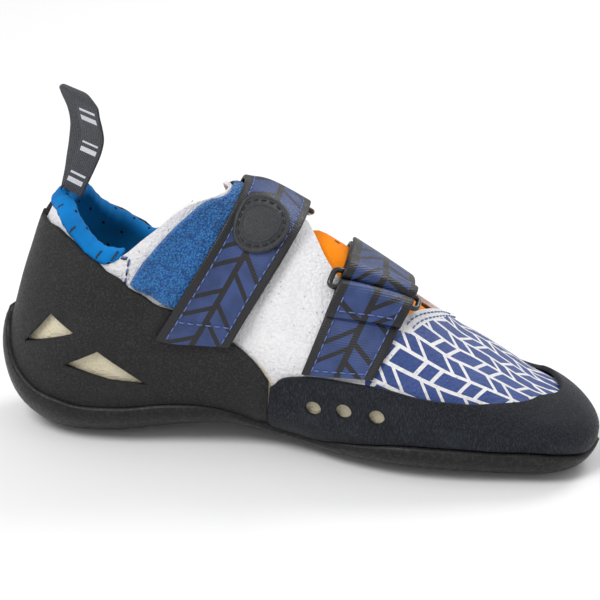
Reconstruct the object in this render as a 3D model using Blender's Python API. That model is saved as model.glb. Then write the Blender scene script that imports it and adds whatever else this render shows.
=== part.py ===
"""A climbing shoe for the left foot, standing empty on its sole, in metres.

+X runs to the toe, +Z up, and -Y is the near side, the foot's inner one. The origin is the middle of the
heel's flat spot on the floor. All of the shoe is laid on one last, a surface with its own coordinates: the
station runs from 0 at the tip of the toe to 1 at the collar, and the girth from 0 under the foot, or behind
the heel, to 1 along the top. A place on the last is a point of a disk, whose radius is the station.
"""

import bmesh
import bpy
import numpy as np

# The last
LAST_LENGTH = 0.250
BALL_WIDTH = 0.088
INSTEP_HEIGHT = 0.100

# Thicknesses, and the play that pieces keep between them. Larger pieces keep more, as their flat faces
# stand a little off the last.
PLAY = 0.0004
RUBBER_PLAY = 0.0009
SOLE_ROOM = 0.0012
PILE_PLAY = 0.0012
INSIDE_PLAY = 0.0021
RIM_PLAY = 0.0010
RING_PLAY = 0.0006
WALL = 0.0018
INSOLE_THICKNESS = 0.0020
TONGUE_THICKNESS = 0.0018
LINING_THICKNESS = 0.0014
SOLE_THICKNESS = 0.0045
SOLE_EDGE_THICKNESS = 0.0029
SOLE_BEVEL = 0.0045
GRIND = 0.0006
REST_DEPTH = 0.0007
HEEL_RAND_THICKNESS = 0.0017
TOE_RAND_THICKNESS = 0.0020
PILE_THICKNESS = 0.0017
WEBBING_THICKNESS = 0.0018

# Collar
LINING_DEPTH = 0.020
ROLL_RADIUS = 0.0034
ROLL_RISE = 0.0016

# Straps, rings and badge
REAR_STRAP_WIDTH = 0.0285
FRONT_STRAP_WIDTH = 0.0275
RING_WIRE_RADIUS = 0.0012
RING_SPAN = 0.0075
RING_MARGIN = 0.0030
RING_CORNER = 0.0019
RETURN_LENGTH = 0.012
FRONT_RETURN = 0.032
BEND_START = 0.0015
BEND_RUN = 0.0110
REAR_REST_START = 0.0165
FRONT_REST_START = 0.0143
BADGE_RADIUS = 0.0116
BADGE_THICKNESS = 0.0024

# Pull loop
LOOP_HEIGHT = 0.0385
LOOP_INSET = 0.0076
LOOP_SINK = 0.0011
LOOP_WIDTH = 0.0150
LOOP_THICKNESS = 0.0012
LOOP_OPENING = 0.0062

# Windows and holes through the rands
HOLE_DIAMETER = 0.0066
CUTTER_REACH = 0.012

# Grid counts: from knot to knot for the upper, else along and across each piece
UPPER_ROWS = (4, 5, 10, 7)
UPPER_COLUMNS = (2, 12, 2, 2, 2, 12, 2)
LOW_CROWDING = 1.35
INSOLE_GRID = (18, 7)
TONGUE_GRID = (15, 10)
COLLAR_NEAR_ROWS = 14
COLLAR_FAR_ROWS = 17
TOE_ROWS = 25
TOE_CROWDING = 1.25
HEEL_ROWS = 19
HEEL_CROWDING = 0.85
TOE_RAND_COLUMNS = 5
HEEL_RAND_COLUMNS = 7
STRAP_COLUMNS = 4
PILE_GRID = (9, 9)
BADGE_SIDES = 20
HOLE_SIDES = 16
RING_SIDES = 6
LOOP_ROWS = 15
LONG_STEPS = 14
ANCHOR_STEPS = 9
RETURN_STEPS = 8
RAMP_STEPS = 5
END_STEPS = 4
WRAP_STEPS = 7
CORNER_STEPS = 4
BAR_POINTS = (0.5, 0, -0.5)
ROLL_ANGLES = (45, 90, 135, 180)
CROWN_ANGLES = (45, 90, 135)
EDGE_STEPS = 200
WAY_COLUMNS = 15
WAY_LINES = 180
WAY_TURNS = 241
WAY_HALVINGS = 26
SHARP_ANGLE = 40

# The last's sections. x is a share of LAST_LENGTH, z of INSTEP_HEIGHT and y of BALL_WIDTH. The widest
# point is a share of the height, and the powers are those of its superellipses above and below.
# station, top x, top z, low x, low z, near y, far y, ridge y, keel y, widest, crown power, floor power
LAST_SECTIONS = (
    (0.00, 1.000, 0.200, 1.000, 0.015, -0.432, 0.000, -0.227, -0.205, 0.48, 2.20, 2.6),
    (0.09, 0.904, 0.270, 0.904, 0.000, -0.455, 0.205, -0.159, -0.136, 0.44, 2.20, 3.0),
    (0.17, 0.832, 0.360, 0.832, 0.000, -0.477, 0.341, -0.114, -0.068, 0.40, 2.10, 3.4),
    (0.26, 0.752, 0.470, 0.752, 0.000, -0.489, 0.455, -0.080, -0.023, 0.35, 2.00, 3.6),
    (0.36, 0.660, 0.640, 0.660, 0.000, -0.477, 0.511, -0.045, 0.023, 0.32, 1.95, 3.6),
    (0.45, 0.572, 0.790, 0.572, 0.005, -0.420, 0.500, -0.023, 0.034, 0.30, 1.95, 3.4),
    (0.53, 0.488, 0.920, 0.488, 0.035, -0.364, 0.432, 0.000, 0.034, 0.29, 2.00, 3.2),
    (0.60, 0.440, 0.990, 0.392, 0.065, -0.318, 0.375, 0.000, 0.023, 0.30, 2.10, 3.0),
    (0.68, 0.416, 1.010, 0.272, 0.035, -0.318, 0.352, 0.000, 0.011, 0.33, 2.10, 3.0),
    (0.75, 0.404, 1.020, 0.168, 0.000, -0.341, 0.352, 0.000, 0.000, 0.36, 2.10, 2.9),
    (0.81, 0.398, 1.025, 0.076, 0.015, -0.352, 0.352, 0.000, 0.000, 0.40, 2.05, 2.6),
    (0.86, 0.394, 1.030, 0.024, 0.130, -0.352, 0.341, 0.000, 0.000, 0.42, 2.00, 2.3),
    (0.90, 0.392, 1.030, 0.010, 0.310, -0.341, 0.341, 0.000, 0.000, 0.45, 1.95, 2.2),
    (0.94, 0.388, 1.035, 0.028, 0.520, -0.330, 0.330, 0.000, 0.000, 0.47, 1.90, 2.1),
    (0.97, 0.386, 1.040, 0.054, 0.730, -0.307, 0.307, 0.000, 0.000, 0.48, 1.90, 2.1),
    (0.99, 0.384, 1.040, 0.084, 0.930, -0.295, 0.295, 0.000, 0.000, 0.48, 1.90, 2.1),
    (1.00, 0.382, 1.040, 0.108, 1.030, -0.290, 0.290, 0.000, 0.000, 0.48, 1.90, 2.1),
)
# The toe's round end: where it starts, its length as a share of LAST_LENGTH, and its centre
NOSE_STATION = 0.09
NOSE_REACH = 0.096
NOSE_POWER = 2.2
NOSE_CENTRE_Y = -0.216
NOSE_CENTRE_Z = 0.12
HEEL_SEAT_X = 0.160

# Where the outsole's side band ends, from under the toe's tip to behind the heel. The seam between the
# two rands meets it at SEAM_ROW.
# station, near girth, far girth
SOLE_EDGE = (
    (0.016, 0.000, 0.000),
    (0.030, 0.340, 0.320),
    (0.050, 0.440, 0.410),
    (0.080, 0.475, 0.445),
    (0.150, 0.465, 0.434),
    (0.245, 0.448, 0.417),
    (0.330, 0.412, 0.381),
    (0.430, 0.325, 0.309),
    (0.500, 0.240, 0.232),
    (0.553, 0.210, 0.206),
    (0.600, 0.225, 0.225),
    (0.660, 0.245, 0.246),
    (0.745, 0.239, 0.241),
    (0.805, 0.220, 0.222),
    (0.851, 0.172, 0.172),
    (0.884, 0.115, 0.115),
    (0.912, 0.070, 0.070),
    (0.930, 0.000, 0.000),
)
SEAM_ROW = 9

# The toe rand's upper edge, from the top of the toe back to the seam
# near station, near girth, far station, far girth
TOE_RAND_TOP = (
    (0.0680, 1.000, 0.0680, 1.000),
    (0.0740, 0.915, 0.0700, 0.845),
    (0.0860, 0.850, 0.0810, 0.695),
    (0.1080, 0.765, 0.1010, 0.595),
    (0.1560, 0.695, 0.1500, 0.540),
    (0.2030, 0.655, 0.2000, 0.523),
    (0.2500, 0.632, 0.2500, 0.517),
    (0.3000, 0.609, 0.3000, 0.509),
    (0.3700, 0.585, 0.3700, 0.502),
    (0.4120, 0.558, 0.4120, 0.492),
    (0.4560, 0.525, 0.4560, 0.476),
    (0.5030, 0.475, 0.5030, 0.448),
    (0.5300, 0.436, 0.5300, 0.430),
    (0.5470, 0.385, 0.5470, 0.395),
)

# The heel rand's upper edge, from the seam back to behind the heel, the same on both sides
# station, girth
HEEL_RAND_TOP = (
    (0.550, 0.400),
    (0.578, 0.452),
    (0.601, 0.475),
    (0.672, 0.533),
    (0.771, 0.598),
    (0.834, 0.609),
    (0.888, 0.573),
    (0.947, 0.465),
    (0.975, 0.332),
    (0.985, 0.209),
    (0.986, 0.140),
    (0.987, 0.070),
    (0.987, 0.000),
)

# The collar's edge, round from under the heel, girth by girth
# girth, near station, far station
COLLAR_EDGE = (
    (0.000, 0.992, 0.992),
    (0.145, 0.993, 0.992),
    (0.235, 0.987, 0.985),
    (0.308, 0.980, 0.974),
    (0.395, 0.967, 0.958),
    (0.472, 0.955, 0.935),
    (0.532, 0.951, 0.905),
    (0.592, 0.960, 0.868),
    (0.662, 0.971, 0.860),
    (0.708, 0.984, 0.885),
    (0.760, 0.996, 0.925),
    (0.850, 0.998, 0.960),
    (1.000, 0.998, 0.990),
)
# The padded roll ends at these girths
ROLL_NEAR_GIRTH = 0.530
ROLL_FAR_GIRTH = 0.680

# The throat: its two edges as turns, 0 on the ridge, below 0 on the near side. From station 0.5 on the
# near flap crosses the ridge.
# station, near turn, far turn
THROAT_EDGE = (
    (0.000, -0.150, 0.300),
    (0.343, -0.150, 0.300),
    (0.430, -0.142, 0.295),
    (0.454, -0.122, 0.290),
    (0.481, -0.060, 0.285),
    (0.507, 0.060, 0.280),
    (0.560, 0.080, 0.275),
    (0.700, 0.095, 0.268),
    (1.000, 0.090, 0.260),
)
FLAP_HEM = 0.06
# The throat's front edge, turn by turn
# turn, station
THROAT_FRONT = (
    (-1.00, 0.310),
    (-0.40, 0.325),
    (-0.15, 0.340),
    (-0.10, 0.331),
    (-0.03, 0.316),
    (0.06, 0.298),
    (0.28, 0.272),
    (0.50, 0.288),
    (1.00, 0.310),
)

# The insole's outline, and the share of its girth inside which the upper is open underneath
# station, girth
INSOLE_EDGE = (
    (0.040, 0.000),
    (0.060, 0.290),
    (0.150, 0.370),
    (0.250, 0.360),
    (0.350, 0.330),
    (0.450, 0.270),
    (0.550, 0.215),
    (0.650, 0.190),
    (0.750, 0.190),
    (0.810, 0.150),
    (0.845, 0.000),
)
LASTED_SHARE = 0.60
LASTED_FRONT = 0.10
LASTED_BACK = 0.82

# The outsole's columns, as shares of its width. Two more stand in its bevelled border.
SOLE_COLUMNS = (0.12, 0.22, 0.39, 0.61, 0.78, 0.88)
BORDER_SHARE = 0.4

# Outlines on the near flap: the pile panel's four sides, as stations and turns
PILE_BOTTOM = ((0.890, -0.420), (0.834, -0.383), (0.771, -0.395), (0.710, -0.433), (0.660, -0.466))
PILE_TOP = ((0.900, 0.035), (0.840, 0.040), (0.780, 0.040), (0.730, 0.035), (0.690, 0.030))
PILE_REAR = ((0.890, -0.420), (0.924, -0.355), (0.967, -0.245), (0.990, -0.130), (0.900, 0.035))
PILE_FRONT = ((0.660, -0.466), (0.650, -0.340), (0.650, -0.220), (0.660, -0.100), (0.690, 0.030))

# The tongue: its ends as stations, its edges as turns, and how far it swells up through the throat
TONGUE_FRONT = 0.245
TONGUE_BACK = 0.900
TONGUE_NEAR = -0.240
# The tongue's far edge, hidden under the throat's edge and clear of the lining at the back
# station, turn
TONGUE_FAR = (
    (0.245, 0.340),
    (0.640, 0.340),
    (0.760, 0.290),
    (0.900, 0.290),
)
TONGUE_SWELL = 0.0032
SWELL_START = 0.335
SWELL_END = 0.525
SWELL_RAMP = 0.05
SWELL_MARGIN = 0.055
SWELL_TURN_RAMP = 0.07

# Each strap is cut by upright planes: x of its rear edge at a height, as shares of the last, how steeply
# the rear and front edges climb, in degrees, and the turn of its ring's line at the rear and front edges
REAR_STRAP = {"x": 0.2676, "z": 0.455, "width": REAR_STRAP_WIDTH, "rear": 59.0, "front": 59.6,
              "ring": (0.105, 0.105)}
FRONT_STRAP = {"x": 0.5220, "z": 0.370, "width": FRONT_STRAP_WIDTH, "rear": 70.0, "front": 62.8,
               "ring": (-0.180, -0.095)}
# How far the straps' ways are traced: turns to either side, stations, and shares of the width
WAY_TURN = 0.70
WAY_STATIONS = (0.12, 0.99)
WAY_SHARES = (-0.16, 1.16)

# Distances along the straps from the ring's line: sewn and free ends, at the rear and front edges
REAR_STRAP_ENDS = (-0.094, -0.082)
REAR_ANCHOR_ENDS = (0.034, 0.036)
FRONT_ANCHOR_ENDS = (0.039, 0.036)
FRONT_STRAP_ENDS = (0.072, 0.066)

# The badge's place on the rear strap, and its dome: shares of its radius and of its thickness
BADGE_ALONG = -0.0315
BADGE_SHARE = 0.46
BADGE_DOME = ((0.00, 1.00), (0.45, 0.95), (0.80, 0.82), (1.00, 0.50))

# Windows in the heel rand, corners as station and girth, and holes in the toe rand
WINDOWS = (
    ((0.904, 0.165), (0.922, 0.278), (0.878, 0.375)),
    ((0.853, 0.305), (0.831, 0.408), (0.722, 0.328), (0.782, 0.338)),
)
HOLES = ((0.480, 0.398), (0.429, 0.448), (0.372, 0.485))

# The pull loop, from its foot on the collar's roll to its top
# share of its height, lean forward and far leg's lean back as shares of its width, turn of its width from
# +X in degrees, share of its opening
LOOP_SHAPE = (
    (0.00, 0.00, 0.12, -44.0, 0.00),
    (0.15, 0.18, 0.26, -44.0, 0.00),
    (0.30, 0.36, 0.42, -43.0, 0.00),
    (0.52, 0.60, 0.64, -42.0, 0.06),
    (0.66, 0.74, 0.92, -42.0, 0.45),
    (0.80, 0.76, 1.16, -42.0, 0.75),
    (0.92, 0.71, 1.32, -42.0, 0.80),
    (1.00, 0.66, 1.30, -42.0, 0.65),
)

SECTION_ANGLES = np.linspace(0, np.pi / 2, 65)
PROBE = 0.002
MERGE = 1e-7


def start_empty():
    for thing in list(bpy.data.objects):
        bpy.data.objects.remove(thing, do_unlink=True)


def finish_of(name, colour, roughness, metallic=0.0):
    finish = bpy.data.materials.new(name)
    finish.use_nodes = True
    shader = finish.node_tree.nodes["Principled BSDF"]
    shader.inputs["Base Color"].default_value = (*colour, 1.0)
    shader.inputs["Roughness"].default_value = roughness
    shader.inputs["Metallic"].default_value = metallic
    return finish


# The last


def smooth_table(table, wanted):
    """A table's later columns, read at values of its first one with smooth slopes."""
    table = np.asarray(table, float)
    steps, values = table[:, 0], table[:, 1:]
    run = np.diff(steps)[:, None]
    rise = np.diff(values, axis=0) / run
    slope = np.empty_like(values)
    slope[1:-1] = (rise[:-1] * run[1:] + rise[1:] * run[:-1]) / (run[1:] + run[:-1])
    slope[0], slope[-1] = rise[0], rise[-1]
    wanted = np.clip(wanted, steps[0], steps[-1])
    row = np.clip(np.searchsorted(steps, wanted) - 1, 0, len(steps) - 2)
    h = run[row]
    t = (wanted - steps[row])[:, None] / h
    return (
        (2 * t**3 - 3 * t**2 + 1) * values[row]
        + (t**3 - 2 * t**2 + t) * h * slope[row]
        + (3 * t**2 - 2 * t**3) * values[row + 1]
        + (t**3 - t**2) * h * slope[row + 1]
    )


def last_table():
    table = np.array(LAST_SECTIONS)
    table[:, [1, 3]] *= LAST_LENGTH
    table[:, [2, 4]] *= INSTEP_HEIGHT
    table[:, 5:9] *= BALL_WIDTH
    return table


LAST_TABLE = last_table()


def last_at(places):
    """Points of the last at places in its disk."""
    station = np.clip(np.hypot(places[:, 0], places[:, 1]), 1e-6, 1)
    girth = np.arctan2(np.abs(places[:, 0]), -places[:, 1]) / np.pi
    columns = smooth_table(LAST_TABLE, station).T
    top_x, top_z, low_x, low_z, near, far, ridge, keel, widest, crown, floor = columns
    side = np.where(places[:, 0] < 0, near, far)
    in_nose = station < NOSE_STATION
    turn = np.cos(np.clip(station / NOSE_STATION, 0, 1) * np.pi / 2)
    grow = (1 - turn**NOSE_POWER) ** (1 / NOSE_POWER)
    nose_x = LAST_TABLE[1, 1] + NOSE_REACH * LAST_LENGTH * turn
    top_x, low_x = (np.where(in_nose, nose_x, x) for x in (top_x, low_x))
    centre_y, centre_z = NOSE_CENTRE_Y * BALL_WIDTH, NOSE_CENTRE_Z * INSTEP_HEIGHT
    top_z, low_z = (centre_z + (z - centre_z) * grow for z in (top_z, low_z))
    side, ridge, keel = (centre_y + (y - centre_y) * grow for y in (side, ridge, keel))
    side, ridge, keel, widest, crown, floor = (
        value[:, None] for value in (side, ridge, keel, widest, crown, floor)
    )
    sine, cosine = np.sin(SECTION_ANGLES), np.cos(SECTION_ANGLES)
    below_y = keel + (side - keel) * sine ** (2 / floor)
    below_rise = widest * (1 - cosine ** (2 / floor))
    above_y = ridge + (side - ridge) * cosine ** (2 / crown)
    above_rise = widest + (1 - widest) * sine ** (2 / crown)
    y = np.hstack([below_y, above_y[:, 1:]])
    rise = np.hstack([below_rise, above_rise[:, 1:]])
    x = low_x[:, None] + (top_x - low_x)[:, None] * rise
    z = low_z[:, None] + (top_z - low_z)[:, None] * rise
    line = np.stack([x, y, z], -1)
    reach = np.cumsum(np.linalg.norm(np.diff(line, axis=1), axis=2), axis=1)
    reach = np.hstack([np.zeros((len(line), 1)), reach])
    wanted = girth * reach[:, -1]
    column = np.clip((reach < wanted[:, None]).sum(axis=1) - 1, 0, reach.shape[1] - 2)
    rows = np.arange(len(line))
    before, after = reach[rows, column], reach[rows, column + 1]
    share = np.clip((wanted - before) / np.maximum(after - before, 1e-12), 0, 1)[:, None]
    return line[rows, column] * (1 - share) + line[rows, column + 1] * share


def last_normals(places):
    across = last_at(places + [PROBE, 0]) - last_at(places - [PROBE, 0])
    along = last_at(places + [0, PROBE]) - last_at(places - [0, PROBE])
    normal = np.cross(across, along)
    return normal / np.linalg.norm(normal, axis=1)[:, None]


SEAT = RUBBER_PLAY + SOLE_THICKNESS - GRIND
SHOE_ORIGIN = np.array([HEEL_SEAT_X * LAST_LENGTH, 0, -SEAT])


def on_last(places, lift):
    """Points of the shoe over places of the last, lifted off it along its normals."""
    flat = places.reshape(-1, 2)
    lift = np.broadcast_to(lift, places.shape[:-1]).reshape(-1, 1)
    points = last_at(flat) + last_normals(flat) * lift - SHOE_ORIGIN
    return points.reshape(*places.shape[:-1], 3)


def place(station, turn):
    """A place from its station and its turn: 0 is the ridge, -1 and 1 the keel by the near and far side."""
    angle = np.pi * (1 - np.abs(turn))
    side = np.where(np.asarray(turn) < 0, -1.0, 1.0)
    return np.stack([station * np.sin(angle) * side, -station * np.cos(angle)], -1)


def girth_place(station, girth, side):
    return place(np.asarray(station, float), side * (1 - np.asarray(girth, float)))


def curve(points, count, crowding=1.0):
    """A smooth curve of places through the given ones, in even steps or crowded at its start."""
    points = np.asarray(points, float)
    chord = np.cumsum(np.linalg.norm(np.diff(points, axis=0), axis=1))
    chord = np.concatenate([[0], chord])
    fine = np.linspace(0, chord[-1], 12 * len(points))
    places = smooth_table(np.column_stack([chord, points]), fine)
    reach = np.cumsum(np.linalg.norm(np.diff(last_at(places), axis=0), axis=1))
    reach = np.concatenate([[0], reach])
    steps = reach[-1] * np.linspace(0, 1, count) ** crowding
    return np.column_stack([np.interp(steps, reach, places[:, k]) for k in (0, 1)])


def shifted(places, distance):
    """A curve of places moved sideways over the last, to the left of its run, by a real distance."""
    run = np.gradient(last_at(places), axis=0)
    aside = np.cross(last_normals(places), run)
    aside /= np.linalg.norm(aside, axis=1)[:, None]
    across = (last_at(places + [PROBE, 0]) - last_at(places - [PROBE, 0])) / (2 * PROBE)
    along = (last_at(places + [0, PROBE]) - last_at(places - [0, PROBE])) / (2 * PROBE)
    moved = places.copy()
    for k in range(len(places)):
        jacobian = np.column_stack([across[k], along[k]])
        moved[k] += np.linalg.lstsq(jacobian, aside[k] * distance, rcond=None)[0]
    return moved


def across(first, second, shares):
    """Rows of places from one curve to another, by station and angle round the keel."""
    shares = np.asarray(shares)[None, :]
    radius = [np.hypot(line[:, 0], line[:, 1])[:, None] for line in (first, second)]
    angle = [np.arctan2(line[:, 0], -line[:, 1])[:, None] for line in (first, second)]
    r = radius[0] + (radius[1] - radius[0]) * shares
    a = angle[0] + (angle[1] - angle[0]) * shares
    return np.stack([r * np.sin(a), -r * np.cos(a)], -1)


def between(first, second, shares):
    """Rows of places from one curve to another on the same side, straight near the toe's tip."""
    straight = first[:, None] + (second - first)[:, None] * np.asarray(shares)[None, :, None]
    nearest = np.minimum(np.linalg.norm(first, axis=1), np.linalg.norm(second, axis=1))
    blend = np.clip((nearest - NOSE_STATION) / NOSE_STATION, 0, 1)
    blend = (blend * blend * (3 - 2 * blend))[:, None, None]
    return straight * (1 - blend) + across(first, second, shares) * blend


# Meshes


def mesh_object(name, points, faces, finish):
    mesh = bpy.data.meshes.new(name)
    mesh.from_pydata([tuple(p) for p in points], [], faces)
    work = bmesh.new()
    work.from_mesh(mesh)
    bmesh.ops.remove_doubles(work, verts=work.verts, dist=MERGE)
    loose = [v for v in work.verts if not v.link_faces]
    bmesh.ops.delete(work, geom=loose, context="VERTS")
    bmesh.ops.recalc_face_normals(work, faces=work.faces)
    if work.calc_volume(signed=True) < 0:
        bmesh.ops.reverse_faces(work, faces=work.faces)
    work.to_mesh(mesh)
    work.free()
    mesh.shade_smooth()
    mesh.set_sharp_from_angle(angle=np.radians(SHARP_ANGLE))
    mesh.materials.append(finish)
    thing = bpy.data.objects.new(name, mesh)
    bpy.context.collection.objects.link(thing)
    return thing


def grid_faces(shape, keep=None):
    rows, columns = shape
    faces = []
    for i in range(rows - 1):
        for j in range(columns - 1):
            if keep is None or keep[i, j]:
                corner = i * columns + j
                faces.append((corner, corner + 1, corner + columns + 1, corner + columns))
    return faces


def slab(name, outer, inner, finish, keep=None):
    """A closed wall between two grids of points, with a rim along each edge that is left open."""
    flat = outer.reshape(-1, 3)
    _, first, back = np.unique(
        np.round(flat / (10 * MERGE)), axis=0, return_index=True, return_inverse=True
    )
    merged = first[back.reshape(-1)]
    outside = []
    for face in grid_faces(outer.shape[:2], keep):
        corners = [int(merged[v]) for v in face]
        corners = [v for k, v in enumerate(corners) if v != corners[k - 1]]
        if len(corners) > 2:
            outside.append(tuple(corners))
    shift = len(flat)
    inside = [tuple(v + shift for v in reversed(face)) for face in outside]
    edges = {edge for face in outside for edge in zip(face, face[1:] + face[:1])}
    rims = [(b, a, a + shift, b + shift) for a, b in edges if (b, a) not in edges]
    points = np.vstack([flat, inner.reshape(-1, 3)])
    return mesh_object(name, points, outside + inside + sorted(rims), finish)


def bars(name, rings, finish):
    """A solid through rings of points, closed by its first and last ring."""
    count, sides = rings.shape[:2]
    faces = []
    for i in range(count - 1):
        for j in range(sides):
            k = (j + 1) % sides
            faces.append((i * sides + j, i * sides + k, (i + 1) * sides + k, (i + 1) * sides + j))
    faces.append(tuple(range(sides)))
    faces.append(tuple((count - 1) * sides + j for j in reversed(range(sides))))
    return mesh_object(name, rings.reshape(-1, 3), faces, finish)


def closed_tube(name, rings, finish):
    count, sides = rings.shape[:2]
    faces = []
    for i in range(count):
        for j in range(sides):
            k, n = (j + 1) % sides, (i + 1) % count
            faces.append((i * sides + j, i * sides + k, n * sides + k, n * sides + j))
    return mesh_object(name, rings.reshape(-1, 3), faces, finish)


def cut(thing, cutter_name, rings):
    """Cuts a prism out of a solid, its own mesh kept by the modifier."""
    cutter = bars(cutter_name, rings, thing.data.materials[0])
    cutter.hide_render = True
    cutter.display_type = "WIRE"
    boolean = thing.modifiers.new(cutter_name, "BOOLEAN")
    boolean.operation = "DIFFERENCE"
    boolean.object = cutter


# Upper, insole and tongue


def collar_station(turn):
    """The collar edge's station at turns."""
    near_far = smooth_table(COLLAR_EDGE, 1 - np.abs(turn))
    return np.where(turn < 0, near_far[:, 0], near_far[:, 1])


def lasted_girth(station):
    return LASTED_SHARE * smooth_table(INSOLE_EDGE, station)[:, 0]


def spread(counts):
    """For grid lines between knots, each line's knot and its share of the way to the next."""
    lines = [(knot, k / count) for knot, count in enumerate(counts) for k in range(count)]
    lines.append((len(counts) - 1, 1.0))
    return np.array([line[0] for line in lines]), np.array([line[1] for line in lines])


def upper(finish):
    """The hollow wall. Its grid lines follow the collar, the throat and the opening underneath."""
    row_knot, row_part = spread(UPPER_ROWS)
    column_knot, column_part = spread(UPPER_COLUMNS)
    column_part = np.where(column_knot == 1, column_part**LOW_CROWDING, column_part)
    column_part = np.where(column_knot == 5, 1 - (1 - column_part) ** LOW_CROWDING, column_part)
    stations = np.repeat(np.linspace(0, 1, len(row_knot))[:, None], len(column_knot), axis=1)
    for _ in range(4):
        flat = stations.reshape(-1)
        throat = smooth_table(THROAT_EDGE, flat)
        hole = 1 - lasted_girth(np.clip(flat, LASTED_FRONT, LASTED_BACK))
        full = np.ones_like(flat)
        knots = np.stack([
            -full, -hole, throat[:, 0] - FLAP_HEM, throat[:, 0],
            throat[:, 1], throat[:, 1] + FLAP_HEM, hole, full,
        ]).reshape(8, *stations.shape)
        columns = np.arange(len(column_knot))
        start, end = knots[column_knot, :, columns].T, knots[column_knot + 1, :, columns].T
        turns = start * (1 - column_part) + end * column_part
        flat = turns.reshape(-1)
        knots = np.stack([
            np.zeros_like(turns),
            np.full_like(turns, LASTED_FRONT),
            smooth_table(THROAT_FRONT, flat)[:, 0].reshape(turns.shape),
            np.full_like(turns, LASTED_BACK),
            collar_station(flat).reshape(turns.shape),
        ])
        rows = np.arange(len(row_knot))
        start, end = knots[row_knot, rows], knots[row_knot + 1, rows]
        stations = start * (1 - row_part[:, None]) + end * row_part[:, None]
    places = place(stations, turns)
    places[:, -1] = places[:, 0]
    places[0] = places[0, 0]
    keep = np.ones((len(row_knot) - 1, len(column_knot) - 1), bool)
    under = np.isin(column_knot[:-1], (0, 6))
    keep[np.ix_(np.isin(row_knot[:-1], (1, 2)), under)] = False
    keep[np.ix_(row_knot[:-1] >= 2, column_knot[:-1] == 3)] = False
    return slab("upper", on_last(places, 0), on_last(places, -WALL), finish, keep)


def insole(finish):
    rows, columns = INSOLE_GRID
    edge = np.array(INSOLE_EDGE)
    near = curve(girth_place(edge[:, 0], edge[:, 1], -1), rows)
    far = curve(girth_place(edge[:, 0], edge[:, 1], 1), rows)
    places = across(near, far, np.linspace(0, 1, columns))
    low = -WALL - INSIDE_PLAY
    return slab("insole", on_last(places, low), on_last(places, low - INSOLE_THICKNESS), finish)


def bell(values, low, high, ramp):
    """1 well between low and high, falling smoothly to 0 at them."""
    share = np.clip(np.minimum(values - low, high - values) / ramp, 0, 1)
    return share * share * (3 - 2 * share)


def tongue(finish):
    rows, columns = TONGUE_GRID
    stations = np.linspace(TONGUE_FRONT, TONGUE_BACK, rows)
    edges = smooth_table(THROAT_EDGE, stations)[:, None]
    far_turns = np.interp(stations, *np.array(TONGUE_FAR).T)
    stations = np.repeat(stations[:, None], columns, axis=1)
    turns = np.linspace(TONGUE_NEAR, far_turns, columns, axis=1)
    near_edge, far_edge = edges[..., 0] + SWELL_MARGIN, edges[..., 1] - SWELL_MARGIN
    swell = bell(stations, SWELL_START, SWELL_END, SWELL_RAMP)
    swell = swell * bell(turns, near_edge, far_edge, SWELL_TURN_RAMP)
    lift = -WALL - INSIDE_PLAY + swell * TONGUE_SWELL
    places = place(stations, turns)
    return slab("tongue", on_last(places, lift), on_last(places, lift - TONGUE_THICKNESS), finish)


def collar_lining(finish):
    """The lining and its roll: one outline, carried round the collar's edge."""
    turns = np.concatenate([
        np.linspace(-(1 - ROLL_NEAR_GIRTH), -1, COLLAR_NEAR_ROWS),
        np.linspace(1, 1 - ROLL_FAR_GIRTH, COLLAR_FAR_ROWS)[1:],
    ])
    edge_station = collar_station(turns)
    edge_places = place(edge_station, turns)
    edge = on_last(edge_places, 0)
    outward = last_normals(edge_places)
    up = (edge - on_last(place(edge_station - PROBE, turns), 0)) / PROBE
    speed = np.linalg.norm(up, axis=1)
    up /= speed[:, None]

    def beyond(out, rise):
        return edge + outward * out + up * rise

    def below(out, depth):
        return on_last(place(edge_station - depth / speed, turns), out)

    face = -WALL - INSIDE_PLAY
    ring = [
        below(face, LINING_DEPTH), below(face, LINING_DEPTH / 2), below(face, LINING_DEPTH / 8),
        beyond(face, RIM_PLAY), beyond(-PLAY - WALL / 2, RIM_PLAY), beyond(-PLAY, ROLL_RISE),
    ]
    for angle in np.radians(ROLL_ANGLES):
        middle = -PLAY - ROLL_RADIUS
        ring.append(beyond(middle + ROLL_RADIUS * np.cos(angle), ROLL_RISE + ROLL_RADIUS * np.sin(angle)))
    back = face - LINING_THICKNESS
    ring += [
        below(face - ROLL_RADIUS, ROLL_RADIUS), below(back, LINING_DEPTH / 2), below(back, LINING_DEPTH),
    ]
    return bars("collar_lining", np.stack(ring, axis=1), finish)


# Rubber


def sole_edge(side, start, end, count, crowding=1.0):
    """The outsole's edge between two rows of its table."""
    rows = np.array(SOLE_EDGE)
    girth = rows[:, 1] if side < 0 else rows[:, 2]
    places = girth_place(rows[:, 0], girth, side)
    chord = np.concatenate([[0], np.cumsum(np.linalg.norm(np.diff(places, axis=0), axis=1))])
    fine = np.linspace(chord[start], chord[end], EDGE_STEPS)
    line = smooth_table(np.column_stack([chord, places]), fine)
    reach = np.concatenate([[0], np.cumsum(np.linalg.norm(np.diff(last_at(line), axis=0), axis=1))])
    steps = reach[-1] * np.linspace(0, 1, count) ** crowding
    return np.column_stack([np.interp(steps, reach, line[:, k]) for k in (0, 1)])


def toe_edge(side):
    return sole_edge(side, 0, SEAM_ROW, TOE_ROWS, TOE_CROWDING)


def heel_edge(side):
    return sole_edge(side, SEAM_ROW, len(SOLE_EDGE) - 1, HEEL_ROWS, HEEL_CROWDING)


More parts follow.
